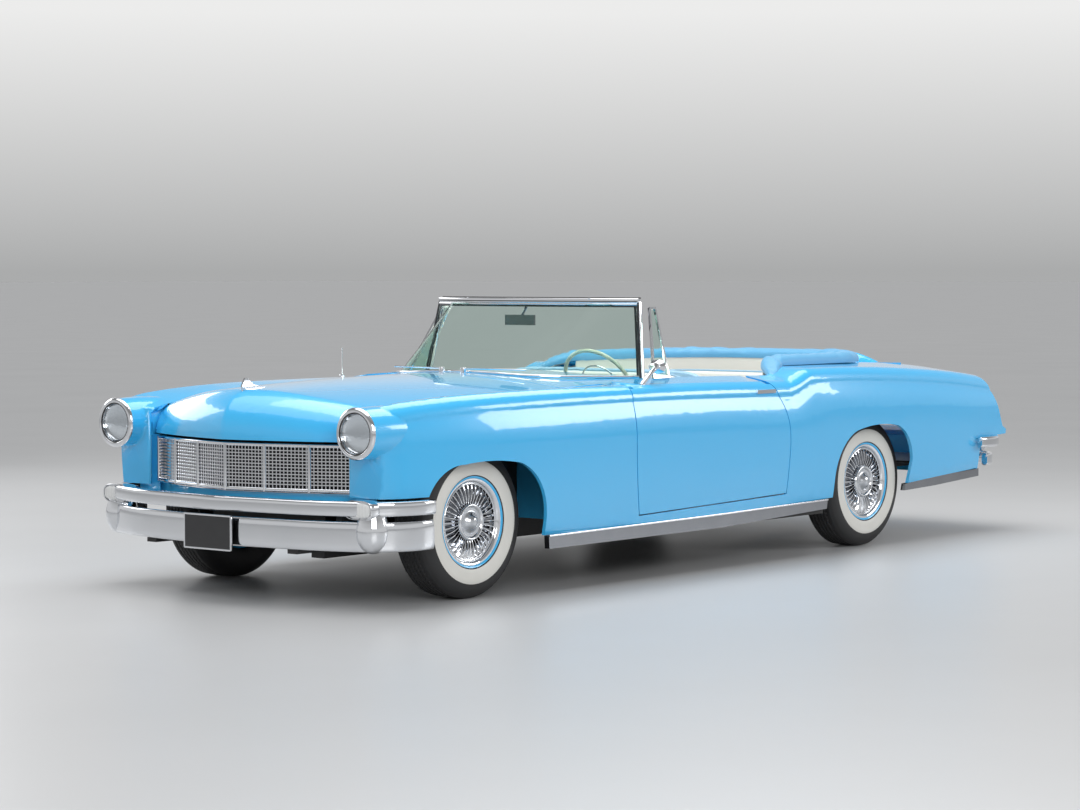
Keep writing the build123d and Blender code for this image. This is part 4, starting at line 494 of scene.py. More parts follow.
# ---- wheels -------------------------------------------------------------------------------------
@dataclass
class Wheel:
    """A whitewall tyre on a steel wheel with a turbine-vaned cover."""

    place: str
    side: Side
    white: Pair = (0.213, 0.284)
    wall_points: int = 22
    tread_points: int = 41
    tread_half: float = 0.068
    ribs: int = 5
    groove_deep: float = 0.007
    groove_half: float = 0.11
    zigzags: int = 90
    zigzag_swing: float = 0.0022
    vanes: int = 38
    vane_reach: Pair = (0.082, 0.174)
    vane_steps: int = 7

    def build(self) -> None:
        """Makes the tyre, its white wall, the wheel and the cover."""
        body = f"wheel_{self.place}"
        add_piece(f"tyre_{self.place}.rubber", self._tyre(), RUBBER, body, [f"tyre_{self.place}"], 40)
        add_piece(f"whitewall_{self.place}", self._whitewall(), WHITEWALL, body)
        add_piece(f"rim_{self.place}", self._rim(), PAINT, body, [f"wheel_{self.place}"])
        add_piece(f"wheel_back_{self.place}", self._back(), UNDERBODY, body)
        # The dish is dark to paint the shade in the gaps between the vanes.
        add_piece(f"cover_dish_{self.place}", self._dish(), DARK_CHROME_AND_SHADE, body)
        add_piece(f"cover_rings_{self.place}", self._rings(), CHROME, body)
        add_piece(f"cover_vanes_{self.place}", self._vanes(), CHROME, body, smooth=25)
        add_piece(f"cover_cone_{self.place}", self._cone(), SATIN_METAL, body)

    def _fitted(self, points: Array, faces: Array) -> Shape:
        """A left wheel's points about its middle, moved to this wheel."""
        return mirrored(points, self.side) + node_middle(f"tyre_{self.place}"), turned_out(faces, self.side)

    def _round(self, profile: Sequence[Pair], segments: int = 96) -> Shape:
        """Turns a profile of (outboard distance, radius) about the axle line."""
        return self._fitted(*turned(profile, (0, 0, 0), ASIDE, UP, segments))

    def _tyre(self) -> Shape:
        """Tyre surface: an inner wall, two side walls and a tread with zigzag grooves.

        The tread's radius falls by the groove's depth wherever the place across, shifted by a
        triangle wave of the angle, is near one of the even lines between the ribs.
        """
        half, edge = TYRE_HALF, self.tread_half
        wall = curve_through([(half - 0.022, RIM_RADIUS + 0.002), (half - 0.006, 0.214), (half, 0.262),
                              (half - 0.004, 0.300), (half - 0.016, 0.328), (half - 0.030, 0.3415)],
                             self.wall_points)
        tread = np.linspace(edge, -edge, self.tread_points)
        crown = TYRE_RADIUS - 0.003 * (tread / (half - 0.03)) ** 2
        inner = [(0.030 - half, 0.322), (half - 0.030, 0.322)]
        profile = np.vstack([wall, np.stack([tread, crown], -1), wall[::-1] * [-1, 1], inner])
        segments = 4 * self.zigzags
        points, quads = turned(profile, (0, 0, 0), ASIDE, UP, segments)
        band = points[:, self.wall_points:self.wall_points + self.tread_points]
        wave = np.abs((np.arange(segments) / 4 % 1.0) * 4 - 2) - 1
        across = band[..., 1] + self.zigzag_swing * wave[:, None]
        place = (across / (2 * edge) + 0.5) * (self.ribs + 1)
        line = np.round(place)
        groove = (np.abs(place - line) < self.groove_half) & (line > 0) & (line <= self.ribs)
        ring = np.linalg.norm(band[..., 0::2], axis=-1, keepdims=True)
        band[..., 0::2] *= 1 - self.groove_deep * groove[..., None] / ring
        return self._fitted(points, quads)

    def _whitewall(self) -> Shape:
        """White band on the outer side wall, standing a little proud of the rubber."""
        half, (low, high) = TYRE_HALF, self.white
        face = curve_through([(half - 0.0175, low - 0.006), (half - 0.0045, low + 0.004), (half + 0.0012, 0.262),
                              (half - 0.0005, high - 0.004), (half - 0.0035, high)], 16)
        return self._round(shell(face, 0.004), 128)

    def _rim(self) -> Shape:
        """Painted rim flange with its rolled edge, and the well behind it."""
        half = TYRE_HALF
        return self._round([(half - 0.030, 0.190), (half - 0.016, 0.196), (half - 0.0105, 0.2035),
                            (half - 0.0095, 0.208), (half - 0.012, 0.2115), (half - 0.0165, 0.2095),
                            (half - 0.021, RIM_RADIUS), (-half + 0.021, RIM_RADIUS), (-half + 0.014, 0.2095),
                            (-half + 0.010, 0.206), (-half + 0.016, 0.196)], 128)

    def _back(self) -> Shape:
        """Steel disc and hub behind the cover, down to the spindle's clearance."""
        return self._round([(0.030, 0.0185), (0.030, 0.14), (0.046, 0.196), (0.050, 0.198), (0.036, 0.14),
                            (0.040, 0.034), (0.0555, 0.030), (0.0555, 0.0185)], 64)

    def _dish(self) -> Shape:
        """Dish of the cover, on which the vanes stand; its dark colour is painted shade, the shade that falls in the
        gaps between the vanes.
        """
        face = curve_through([(0.078, 0.188), (0.066, 0.178), (0.058, 0.150), (0.058, 0.110), (0.062, 0.078),
                              (0.060, 0.060)], 24)
        back = [(0.058, 0.059), (0.0575, 0.058), (0.0555, 0.06), (0.052, 0.150), (0.060, 0.186)]
        return self._round(np.vstack([face, back]))

    def _rings(self) -> Shape:
        """Bright outer ring with a rolled lip, a step ring, and the ring round the middle."""
        outer = [(0.060, 0.2025), (0.076, 0.2055), (0.0860, 0.2030), (0.0870, 0.1930), (0.0815, 0.1830),
                 (0.0725, 0.1775), (0.0690, 0.1735)]
        step = [(0.0690, 0.178), (0.0745, 0.1765), (0.0765, 0.1735), (0.0740, 0.1705), (0.066, 0.1695)]
        inner = [(0.062, 0.0865), (0.0785, 0.0855), (0.0870, 0.0810), (0.0885, 0.0755), (0.0850, 0.0700),
                 (0.080, 0.0660)]
        return join([self._round(shell(curve_through(line, count), thick))
                     for line, count, thick in ((outer, 26, 0.0035), (step, 16, 0.003), (inner, 20, 0.0035))])

    def _vanes(self) -> Shape:
        """Radial vanes, each a leaning blade that widens outwards.

        A vane's middle line runs from the inner to the outer radius at a fixed angle; its front edge
        leans round the wheel by a few degrees and its height follows a half sine along its length.
        """
        low, high = self.vane_reach
        along = np.linspace(0, 1, self.vane_steps)
        radius = (low + (high - low) * along)[:, None]
        height = 0.063 + 0.013 * np.sin(np.pi * np.clip(along * 0.85 + 0.1, 0, 1)) ** 0.7
        foot = np.full(self.vane_steps, 0.0585)
        gap = 2 * np.pi / self.vanes
        lean, wide = self.side.value * 0.34 * gap, 0.16 * gap
        angle = np.arange(self.vanes)[:, None, None] * gap + [-wide, lean - wide / 2, lean + wide / 2, wide]
        out = np.stack([foot, height, height, foot], axis=-1)
        corners = np.broadcast_arrays(radius * np.sin(angle), out, radius * np.cos(angle))
        return self._fitted(*join([capped(vane) for vane in np.stack(corners, axis=-1)]))

    def _cone(self) -> Shape:
        """Brushed centre: a shallow dish rising to a blunt cone, with a plain round boss."""
        line = curve_through([(0.080, 0.068), (0.079, 0.052), (0.086, 0.040), (0.099, 0.027), (0.106, 0.014),
                              (0.1075, 0.0004)], 28)
        return self._round(shell(line, 0.004), 72)


# ---- front end ----------------------------------------------------------------------------------
@dataclass
class Grille:
    """Pointed egg-crate grille: three bays a side between rounded uprights.

    The upright and the level bars lie some way behind the plan line, and stop or start short of
    the bottom and the top. A post is given by its half sizes ahead and aside.
    """

    corners: Sequence[Pair] = ((0.738, 0.0), (0.702, 0.215), (0.638, 0.432), (0.552, 0.640))
    bottom: float = 0.499
    top: float = 0.714
    columns: int = 11
    rows: int = 11
    bar: float = 0.0034
    depth: float = 0.012
    tall_back: float = 0.017
    tall_short: float = 0.012
    level_back: float = 0.014
    level_short: Pair = (0.020, 0.014)
    post: Pair = (0.012, 0.0075)
    post_swell: float = 0.001
    post_back: float = 0.004
    half_sheet: float = 0.003
    valance_low: float = 0.425
    cheek_top: float = 0.720

    def build(self) -> None:
        """Makes the lattice, the uprights, the rails, the dark sheet behind and the panels round it."""
        plan = from_front([(x, y, 0.0) for x, y in self.corners])
        lines = [mirrored(plan, side) for side in Side]
        crates = [self._bay(start, end) for line in lines for start, end in zip(line, line[1:])]
        add_piece("grille_lattice", join(crates), CHROME, replaced=["grille"], smooth=None)
        uprights = [self._upright(x, y) for x, y, _ in both_sides(plan)]
        add_piece("grille_uprights", join(uprights), CHROME)
        rails = [self._rail(plan, self.top - 0.006, 0.009, 0.015),
                 self._rail(plan, self.bottom + 0.008, 0.012, 0.016)]
        add_piece("grille_rails", join(rails), CHROME)
        self._panel("grille_shadow", both_sides(plan - [0.052, 0, 0]), self.bottom, self.top, UNDERBODY)
        wide = np.vstack([plan, from_front([(0.580, 0.752, 0.0)])])
        self._panel("grille_valance", both_sides(wide - [0.030, 0, 0]), self.valance_low, self.bottom + 0.004,
                    PAINT)
        cheek = from_front([(0.545, 0.634, 0.0), (0.556, 0.700, 0.0), (0.562, 0.752, 0.0)])
        for side in Side:
            self._panel(f"grille_cheek_{side.word}", curve_through(mirrored(cheek, side), 12), self.valance_low,
                        self.cheek_top, PAINT)

    def _panel(self, name: str, path: Array, low: float, high: float, finish: Finish) -> None:
        """Upright sheet along a plan line, from a low to a high edge."""
        half = self.half_sheet
        add_piece(name, swept(path, np.array([(-half, low), (half, low), (half, high), (-half, high)])), finish)

    def _bay(self, start: Array, end: Array) -> Shape:
        """Lattice of one bay: upright slats and level ones that cross them."""
        span = np.linalg.norm(end - start)
        along = (end - start) / span
        outwards = np.array([abs(along[1]), -along[0] * np.sign(along[1]), 0.0])
        up = np.array(UP)
        middle = up * (self.bottom + self.top) / 2 - outwards * self.tall_back
        places = start + np.linspace(0, span, self.columns + 2)[1:-1, None] * along + middle
        tall = self._slats(places, outwards, along, up * ((self.top - self.bottom) / 2 - self.tall_short))
        low, high = self.bottom + self.level_short[0], self.top - self.level_short[1]
        levels = (start + end) / 2 + np.linspace(low, high, self.rows + 2)[1:-1, None] * up
        flat = self._slats(levels - outwards * self.level_back, outwards, up, along * (span / 2))
        return join([tall, flat])

    def _slats(self, centres: Array, outwards: Array, thick: Array, length: Array) -> Shape:
        """Six-sided bars with the given centres and half length, their front corners cut off."""
        section = np.array([(-1, -1), (0.8, -1), (1, -0.75), (1, 0.75), (0.8, 1), (-1, 1)])
        ring = section[:, :1] * outwards * self.depth + section[:, 1:] * thick * self.bar
        ends = np.stack([ring - length, ring + length])
        faces = grid_faces(2, len(section), wrap_columns=True)
        return join([(ends + centre, faces) for centre in centres])

    def _upright(self, x: float, y: float) -> Shape:
        """Rounded chrome upright between two bays, a little wider at half height."""
        levels = np.linspace(-1, 1, 9)[:, None]
        deep, wide = self.post
        swell = wide + self.post_swell * np.cos(levels * 1.2)
        height = (self.bottom + self.top) / 2 + levels * ((self.top - self.bottom) / 2 - 0.002)
        angle = np.linspace(0, 2 * np.pi, 16, endpoint=False)
        rings = np.broadcast_arrays(x - self.post_back + deep * np.cos(angle), y * 0.994 + swell * np.sin(angle),
                                    height)
        return capped(np.stack(rings, -1), flipped=True)

    def _rail(self, plan: Array, height: float, half_high: float, half_deep: float) -> Shape:
        """Rail along the pointed plan line at a height."""
        path = both_sides(curve_through(plan, 25)) + [-half_deep * 0.8, 0, height]
        return swept(path, rounded_box(half_deep, half_high, 3.0, 20))


@dataclass
class Headlamp:
    """Round headlamp: chrome bezel, rubber seal, reflector bowl and domed lens."""

    side: Side
    place: Triple = (0.690, 0.770, 0.776)

    def build(self) -> None:
        """Makes the four pieces from profiles of (ahead of the lamp's face, radius)."""
        bezel = curve_through([(0.0005, 0.112), (0.004, 0.1155), (0.010, 0.1140), (0.0165, 0.1075), (0.019, 0.1000),
                               (0.0165, 0.0940), (0.010, 0.0905)], 28)
        bezel = np.vstack([bezel, [(0.004, 0.090), (0.0005, 0.0905)]])
        seal = rounded_box(0.0030, 0.0038, 2.0, 16) + [0.0135, 0.0925]
        bowl = curve_through([(-0.002, 0.0895), (-0.014, 0.080), (-0.022, 0.050), (-0.0245, 0.020),
                              (-0.0248, 0.001)], 18)
        lens = curve_through([(0.003, 0.0895), (0.010, 0.082), (0.019, 0.055), (0.0225, 0.025),
                              (0.0235, 0.0006)], 24)
        centre = mirrored(from_front([self.place])[0], self.side)
        replaced = ["headlamp_rings", "headlamps"] if self.side is Side.LEFT else []
        for name, profile, finish, nodes in (("bezel", bezel, CHROME, replaced), ("seal", seal, RUBBER, []),
                                             ("bowl", shell(bowl, 0.001), CHROME, []),
                                             ("lens", shell(lens, 0.003), LENS, [])):
            add_piece(f"headlamp_{name}_{self.side.word}", turned(profile, centre, AHEAD, ASIDE, 96), finish,
                      replaced=nodes)


# ---- front bumper -------------------------------------------------------------------------------
def tangent_arc(start: Array, heading: float, end: Array, count: int) -> tuple[Array, float]:
    """Points of the circle arc that leaves a start at a heading and reaches an end, and its last heading."""
    chord = end - start
    half_turn = math.atan2(chord[1], chord[0]) - heading
    radius = np.linalg.norm(chord) / (2 * math.sin(half_turn))
    angle = heading + 2 * half_turn * np.linspace(0, 1, count)
    arc = start + radius * np.stack([np.sin(angle) - math.sin(heading), math.cos(heading) - np.cos(angle)], -1)
    return arc, heading + 2 * half_turn


@dataclass
class FrontBumper:
    """Two swept bars with rounded guards and oval lamp pods.

    A bar is given by its height, its depth, its thickness up and down, and how far it is set back.
    Its front edge in plan runs from the middle over a shoulder and a corner to a tip, and has a
    crease of a depth and a half width at the middle. The lens is given ahead of the pod's middle.
    """

    middle: Pair = (0.850, 0.0)
    shoulder: Pair = (0.800, 0.430)
    corner: Pair = (0.700, 0.778)
    tip: Pair = (0.378, 0.948)
    crease: Pair = (0.004, 0.02)
    upper: tuple[float, ...] = (0.448, 0.044, 0.066, 0.0)
    lower: tuple[float, ...] = (0.326, 0.034, 0.132, 0.010)
    guard: Pair = (0.632, 0.806)
    pod: Triple = (0.648, 0.780, 0.444)
    bracket: Triple = (0.675, 0.4525, 0.265)
    bracket_half: Triple = (0.095, 0.030, 0.025)
    lens_half: Pair = (0.070, 0.031)
    lens_back: float = 0.041
    lens_edge: float = 0.0495
    lens_dome: float = 0.0035
    lens_ribs: int = 8
    lens_relief: float = 0.0008

    def build(self) -> None:
        """Makes the bars, guards, pods and brackets."""
        add_piece("bumper_bars", join([self._bar(*self.upper), self._bar(*self.lower)]), CHROME,
                  replaced=["front_bumper"], smooth=60)
        for side in Side:
            add_piece(f"bumper_guard_{side.word}", self._guard(side), CHROME, smooth=50)
            add_piece(f"lamp_pod_{side.word}", self._pod(side), CHROME, smooth=50)
            add_piece(f"parking_lens_{side.word}", self._lens(side), FROSTED_LENS,
                      replaced=["parking_lamps"] if side is Side.LEFT else [], smooth=50)
        middle = from_front([self.bracket])[0]
        brackets = [block(mirrored(middle, side), self.bracket_half) for side in Side]
        add_piece("bumper_brackets", join(brackets), UNDERBODY, smooth=None)

    def _bar(self, height: float, deep: float, tall: float, back: float) -> Shape:
        """One bar along the plan line, which is straight, then two tangent arcs, on each side."""
        set_back = deep / 2 + back
        middle, shoulder, corner = (np.array([front(x) - set_back, y])
                                    for x, y in (self.middle, self.shoulder, self.corner))
        tip = np.array([front(self.tip[0]), self.tip[1] - set_back])
        heading = math.atan2(*(shoulder - middle)[::-1])
        first, heading = tangent_arc(shoulder, heading, corner, 24)
        second, _ = tangent_arc(corner, heading, tip, 40)
        plan = np.vstack([np.linspace(middle, shoulder, 30), first[1:], second[1:]])
        crease, half_wide = self.crease
        plan[:, 0] -= crease * np.exp(-(plan[:, 1] / half_wide) ** 2)
        path = both_sides(np.column_stack([plan, np.full(len(plan), height)]))
        return swept(path, rounded_box(deep / 2, tall / 2, 4.0, 48))

    def _guard(self, side: Side) -> Shape:
        """Bullet-shaped guard below the upper bar, round about an upright line."""
        line = curve_through([(0.2505, 0.0006), (0.254, 0.022), (0.268, 0.048), (0.300, 0.068), (0.345, 0.0755),
                              (0.385, 0.070), (0.420, 0.0605)], 40)
        x, y = self.guard
        return turned(np.vstack([line, [(0.422, 0.0006)]]), (front(x), side.value * y, 0.0), UP, AHEAD, 72)

    def _pod(self, side: Side) -> Shape:
        """Oval housing that narrows towards the back, with a rolled rim round the lens.

        Each ring is the oval at a place ahead of the pod's middle, scaled.
        """
        stations = ((-0.070, 0.55), (-0.050, 0.80), (-0.020, 0.95), (0.010, 1.0), (0.040, 1.0), (0.048, 0.985),
                    (0.0505, 0.955), (0.0495, 0.90), (0.042, 0.86))
        oval = np.insert(rounded_box(0.084, 0.044, 3.2, 56), 0, 0.0, axis=1)
        rings = np.stack([oval * size + [ahead, 0, 0] for ahead, size in stations])
        return capped(rings + mirrored(from_front([self.pod])[0], side))

    def _lens(self, side: Side) -> Shape:
        """Domed lens whose face carries upright ribs: a cosine of the place across."""
        half_wide, half_high = self.lens_half
        size = np.linspace(1, 0.02, 18)[:, None, None]
        flat = size * rounded_box(half_wide, half_high, 3.6, 96)
        ribs = self.lens_relief * np.cos(flat[..., :1] / half_wide * self.lens_ribs * np.pi)
        face = np.concatenate([self.lens_edge + self.lens_dome * (1 - size ** 6) + ribs, flat], -1)
        back = face[:1] * [0, 1, 1] + [self.lens_back, 0, 0]
        return capped(np.vstack([back, face]) + mirrored(from_front([self.pod])[0], side))


# ---- windscreen ---------------------------------------------------------------------------------
@dataclass
class Windscreen:
    """Frame of the wrap-round screen: header, pillars, base moulding and latch pins.

    Its lines are left halves, from the middle outwards.
    """

    base: Sequence[Triple] = ((-0.838, 0.0, 0.989), (-0.850, 0.190, 0.985), (-0.888, 0.380, 0.976),
                              (-0.955, 0.492, 0.972), (-1.057, 0.572, 0.968), (-1.398, 0.703, 0.960))
    header: Sequence[Triple] = ((-1.385, 0.0, 1.333), (-1.388, 0.190, 1.333), (-1.403, 0.380, 1.333),
                                (-1.429, 0.546, 1.333), (-1.470, 0.650, 1.333))
    pillar: Sequence[Triple] = ((-1.419, 0.7045, 0.950), (-1.4705, 0.6465, 1.326))
    pin: Triple = (-1.385, 0.40, 1.342)

    def build(self) -> None:
        """Makes the frame's pieces."""
        top = curve_through(both_sides(from_front(self.header)), 61)
        add_piece("header_rail", swept(top - [0, 0, 0.001], rounded_box(0.019, 0.0145, 5.0, 32)), CHROME,
                  replaced=["windscreen_frame"])
        for name, ahead, above, half_wide, half_high, finish in (
                ("seal", -0.012, 0.0140, 0.0075, 0.0035, RUBBER), ("groove", 0.016, -0.0025, 0.0055, 0.0025, RUBBER),
                ("bead", 0.016, -0.0185, 0.0055, 0.0050, CHROME), ("gasket", 0.016, -0.0275, 0.0055, 0.0045, RUBBER)):
            add_piece(f"header_{name}", swept(top + [ahead, 0, above], rounded_box(half_wide, half_high, 3.0, 16)),
                      finish)
        base = curve_through(both_sides(from_front(self.base)), 81)
        add_piece("screen_moulding", swept(base, rounded_box(0.006, 0.007, 2.5, 16)), CHROME)
        pin = [(0, 0.0001), (0, 0.005), (0.003, 0.005), (0.0035, 0.003), (0.0055, 0.0005)]
        for side in Side:
            line = mirrored(np.linspace(*from_front(self.pillar), 9), side)
            add_piece(f"screen_pillar_{side.word}", swept(line, rounded_box(0.0150, 0.0135, 4.0, 28), ASIDE), CHROME)
            for name, ahead, aside, finish in (("gasket", 0.0150, -0.0110, RUBBER), ("channel", 0.0150, 0.0060, RUBBER),
                                               ("post", -0.0150, -0.0040, DARK_CHROME_AND_SHADE)):
                path = line + [ahead, aside * side.value, 0.0]
                add_piece(f"pillar_{name}_{side.word}", swept(path, rounded_box(0.0060, 0.0035, 3.0, 16), AHEAD),
                          finish)
            place = mirrored(from_front([self.pin])[0], side)
            add_piece(f"latch_pin_{side.word}", turned(pin, place, UP, AHEAD, 16), CHROME)


# ---- cabin --------------------------------------------------------------------------------------
def points_of(mesh: bpy.types.Mesh) -> Array:
    """Points of a mesh, one row each."""
    flat = np.empty(len(mesh.vertices) * 3)
    mesh.vertices.foreach_get("co", flat)
    return flat.reshape(-1, 3)


@dataclass
class Pad:
    """A stuffed seat pad, blown up by a short cloth simulation, with sewn channels and piping.

    The sewn field is a share of the half length and half width. Its border is a groove of a depth
    and a half width.
    """

    name: str
    centre: Triple
    half: Triple
    tilt: float
    replaced: Sequence[str] = ()
    channels: int = 18
    field: Pair = (0.80, 0.86)
    seam: float = 0.009
    border: Pair = (0.007, 0.010)
    voxel: float = 0.012
    cap: float = 0.014
    frames: int = 20
    pressure: float = 4.0
    welt: float = 0.005

    def build(self) -> None:
        """Makes the pad and its piping."""
        inset = tuple(size - 0.006 for size in self.half)
        piece = add_piece(self.name, pillow(inset), CREAM, replaced=self.replaced)
        self._remesh(piece)
        self._inflate(piece)
        self._sew(piece)
        piece.data.shade_smooth()
        extra = piece.modifiers.new("smooth", "SUBSURF")
        extra.levels = extra.render_levels = 1
        add_piece(f"{self.name}_piping", self._piping(), BLUE_HIDE)

    def _swap(self, piece: bpy.types.Object) -> None:
        """Puts the piece's evaluated mesh in place of its own, without modifiers."""
        graph = bpy.context.evaluated_depsgraph_get()
        made = bpy.data.meshes.new_from_object(piece.evaluated_get(graph))
        piece.modifiers.clear()
        made.materials.clear()
        made.materials.append(CREAM.material())
        piece.data = made

    def _remesh(self, piece: bpy.types.Object) -> None:
        """Even squares over the whole pad."""
        cut = piece.modifiers.new("even", "REMESH")
        cut.mode = "VOXEL"
        cut.voxel_size = self.voxel
        self._swap(piece)

    def _inflate(self, piece: bpy.types.Object) -> None:
        """Blows the pad up as cloth and keeps each point within the cap of where it was."""
        before = points_of(piece.data)
        cloth = piece.modifiers.new("cloth", "CLOTH")
        cloth.settings.use_pressure = True
        cloth.settings.uniform_pressure_force = self.pressure
        cloth.settings.effector_weights.gravity = 0.0
        cloth.point_cache.frame_end = self.frames
        for step in range(1, self.frames + 1):
            bpy.context.scene.frame_set(step)
        self._swap(piece)
        bpy.context.scene.frame_set(1)
        move = points_of(piece.data) - before
        length = np.linalg.norm(move, axis=1, keepdims=True)
        move *= np.minimum(1.0, self.cap / np.maximum(length, 1e-9))
        piece.data.vertices.foreach_set("co", (before + move).ravel())

    def _sew(self, piece: bpy.types.Object) -> None:
        """Presses the channels into the middle of the upper face, then tilts and places the pad.

        Inside the sewn field the height falls by a narrow notch, the tenth power of a cosine, at
        each seam across the width, and by a bell-shaped one along the field's border.
        """
        points = points_of(piece.data)
        half = np.array(self.half[:2]) * self.field
        place = np.abs(points[:, :2] / half)
        top = points[:, 2] > 0
        notch = np.abs(np.cos(np.pi * points[:, 1] / half[1] * self.channels / 2)) ** 10
        deep, wide = self.border
        edge = np.exp(-((place - 1) * half / wide) ** 2).sum(axis=1)
        points[:, 2] -= self.seam * notch * ((place < 1).all(axis=1) & top)
        points[:, 2] -= deep * np.clip(edge, 0, 1) * ((place < [1.06, 1.03]).all(axis=1) & top)
        piece.data.vertices.foreach_set("co", (tilted(points, self.tilt) + self.centre).ravel())
        piece.data.update()

    def _piping(self) -> Shape:
        """Round welt along the pad's middle outline."""
        outline = rounded_box(self.half[0] - 0.003, self.half[1] - 0.003, 5.0, 219)
        outline = np.vstack([outline, outline[:1]])
        path = np.column_stack([outline, np.full(len(outline), self.half[2] * 0.45)])
        apart = np.linalg.norm(np.diff(path, axis=0), axis=1) > 1e-4
        welt = swept(path[np.append(True, apart)], rounded_box(self.welt, self.welt, 2.0, 10))
        return placed(welt, self.centre, tilt=self.tilt)


@dataclass
class Boot:
    """Soft cover rolled over the folded top: a U round the rear seat with arms over the hips.

    Each fold is a sine with its radians a metre along the line, its start and its height in metres.
    """

    half_y: float = 0.676
    rear_x: float = 1.061
    corner: float = 0.496
    wide: float = 0.064
    rise: float = 0.0545
    floor: float = 0.985
    section: Pair = (0.72, 0.80)
    folds: Sequence[Triple] = ((74, 0.0, 0.0016), (41, 1.3, 0.0022))
    cross_fold: Pair = (13, 0.0020)
    skirt_ends: int = 30
    skirt_middle: float = 0.925

    def build(self) -> None:
        """Makes the cover, and the upright skirt that hangs from its inner edge."""
        path, size, aside = self._line()
        piece = add_piece("boot_cover", self._roll(path, size, aside), BOOT_CLOTH, "body", ["top_boot"], 60)
        inner = (path - aside * size[:, :1] * 0.9)[self.skirt_ends:-self.skirt_ends]
        inner[:, 2] = self.skirt_middle
        add_piece("boot_skirt", swept(inner, rounded_box(0.002, 0.065, 6.0, 16)), CREAM)

    def _line(self) -> tuple[Array, Array, Array]:
        """Plan line from the left arm's tip to the right one's.

        Returns:
            The line, its (half width, rise) at each point, and the level direction out of the cabin.
        """
        x_rear = tail(self.rear_x)
        turn = np.linspace(0, np.pi / 2, 30)
        bend = np.stack([x_rear + self.corner - self.corner * np.sin(turn),
                         self.half_y - self.corner + self.corner * np.cos(turn), np.full(30, self.floor)], -1)
        arm = curve_through([(rear(0.800), 0.800, 0.932), (rear(0.755), 0.768, 0.945), (rear(0.700), 0.726, 0.966),
                             (rear(0.630), 0.682, 0.983), (rear(0.560), self.half_y, self.floor)], 40)
        run = np.linspace(arm[-1], bend[0], 40)[1:]
        back = np.linspace(bend[-1], [x_rear, 0.0, self.floor], 24)[1:]
        left = np.vstack([arm, run, bend[1:], back])
        grow = np.interp(np.arange(len(left)), [0, 8, 20, 39], [0.15, 0.5, 0.82, 1.0])
        size = np.append(grow, grow[-2::-1])[:, None] * [self.wide, self.rise]
        path = both_sides(left[::-1])[::-1]
        ahead = unit(np.gradient(path, axis=0) * [1, 1, 0])
        return path, size, np.cross(ahead, UP)

    def _roll(self, path: Array, size: Array, aside: Array) -> Shape:
        """Half-round section along the line, with soft folds that run across it.

        The folds lower and raise the crown by a few millimetres by three sines of the length
        along the line, strongest round the corners, where cloth gathers.
        """
        length = np.append(0, np.cumsum(np.linalg.norm(np.diff(path, axis=0), axis=1)))
        angle = np.linspace(0, np.pi, 25)
        wide, high = bent(np.cos(angle), self.section[0]), bent(np.sin(angle), self.section[1])
        turning = np.abs(np.gradient(np.unwrap(np.arctan2(aside[:, 1], aside[:, 0])), length))
        gather = 0.25 + np.clip(turning / 2.0, 0, 1)
        lean = length[:, None] + 0.05 * wide
        pace, deep = self.cross_fold
        fold = sum(np.sin(lean * turns + start) * rise for turns, start, rise in self.folds)
        fold = (fold + np.sin(length[:, None] * pace + angle * 2) * deep) * gather[:, None]
        return capped(path[:, None] + (size[:, :1] * wide)[..., None] * aside[:, None]
                      + ((size[:, 1:] + fold) * high)[..., None] * np.array(UP))


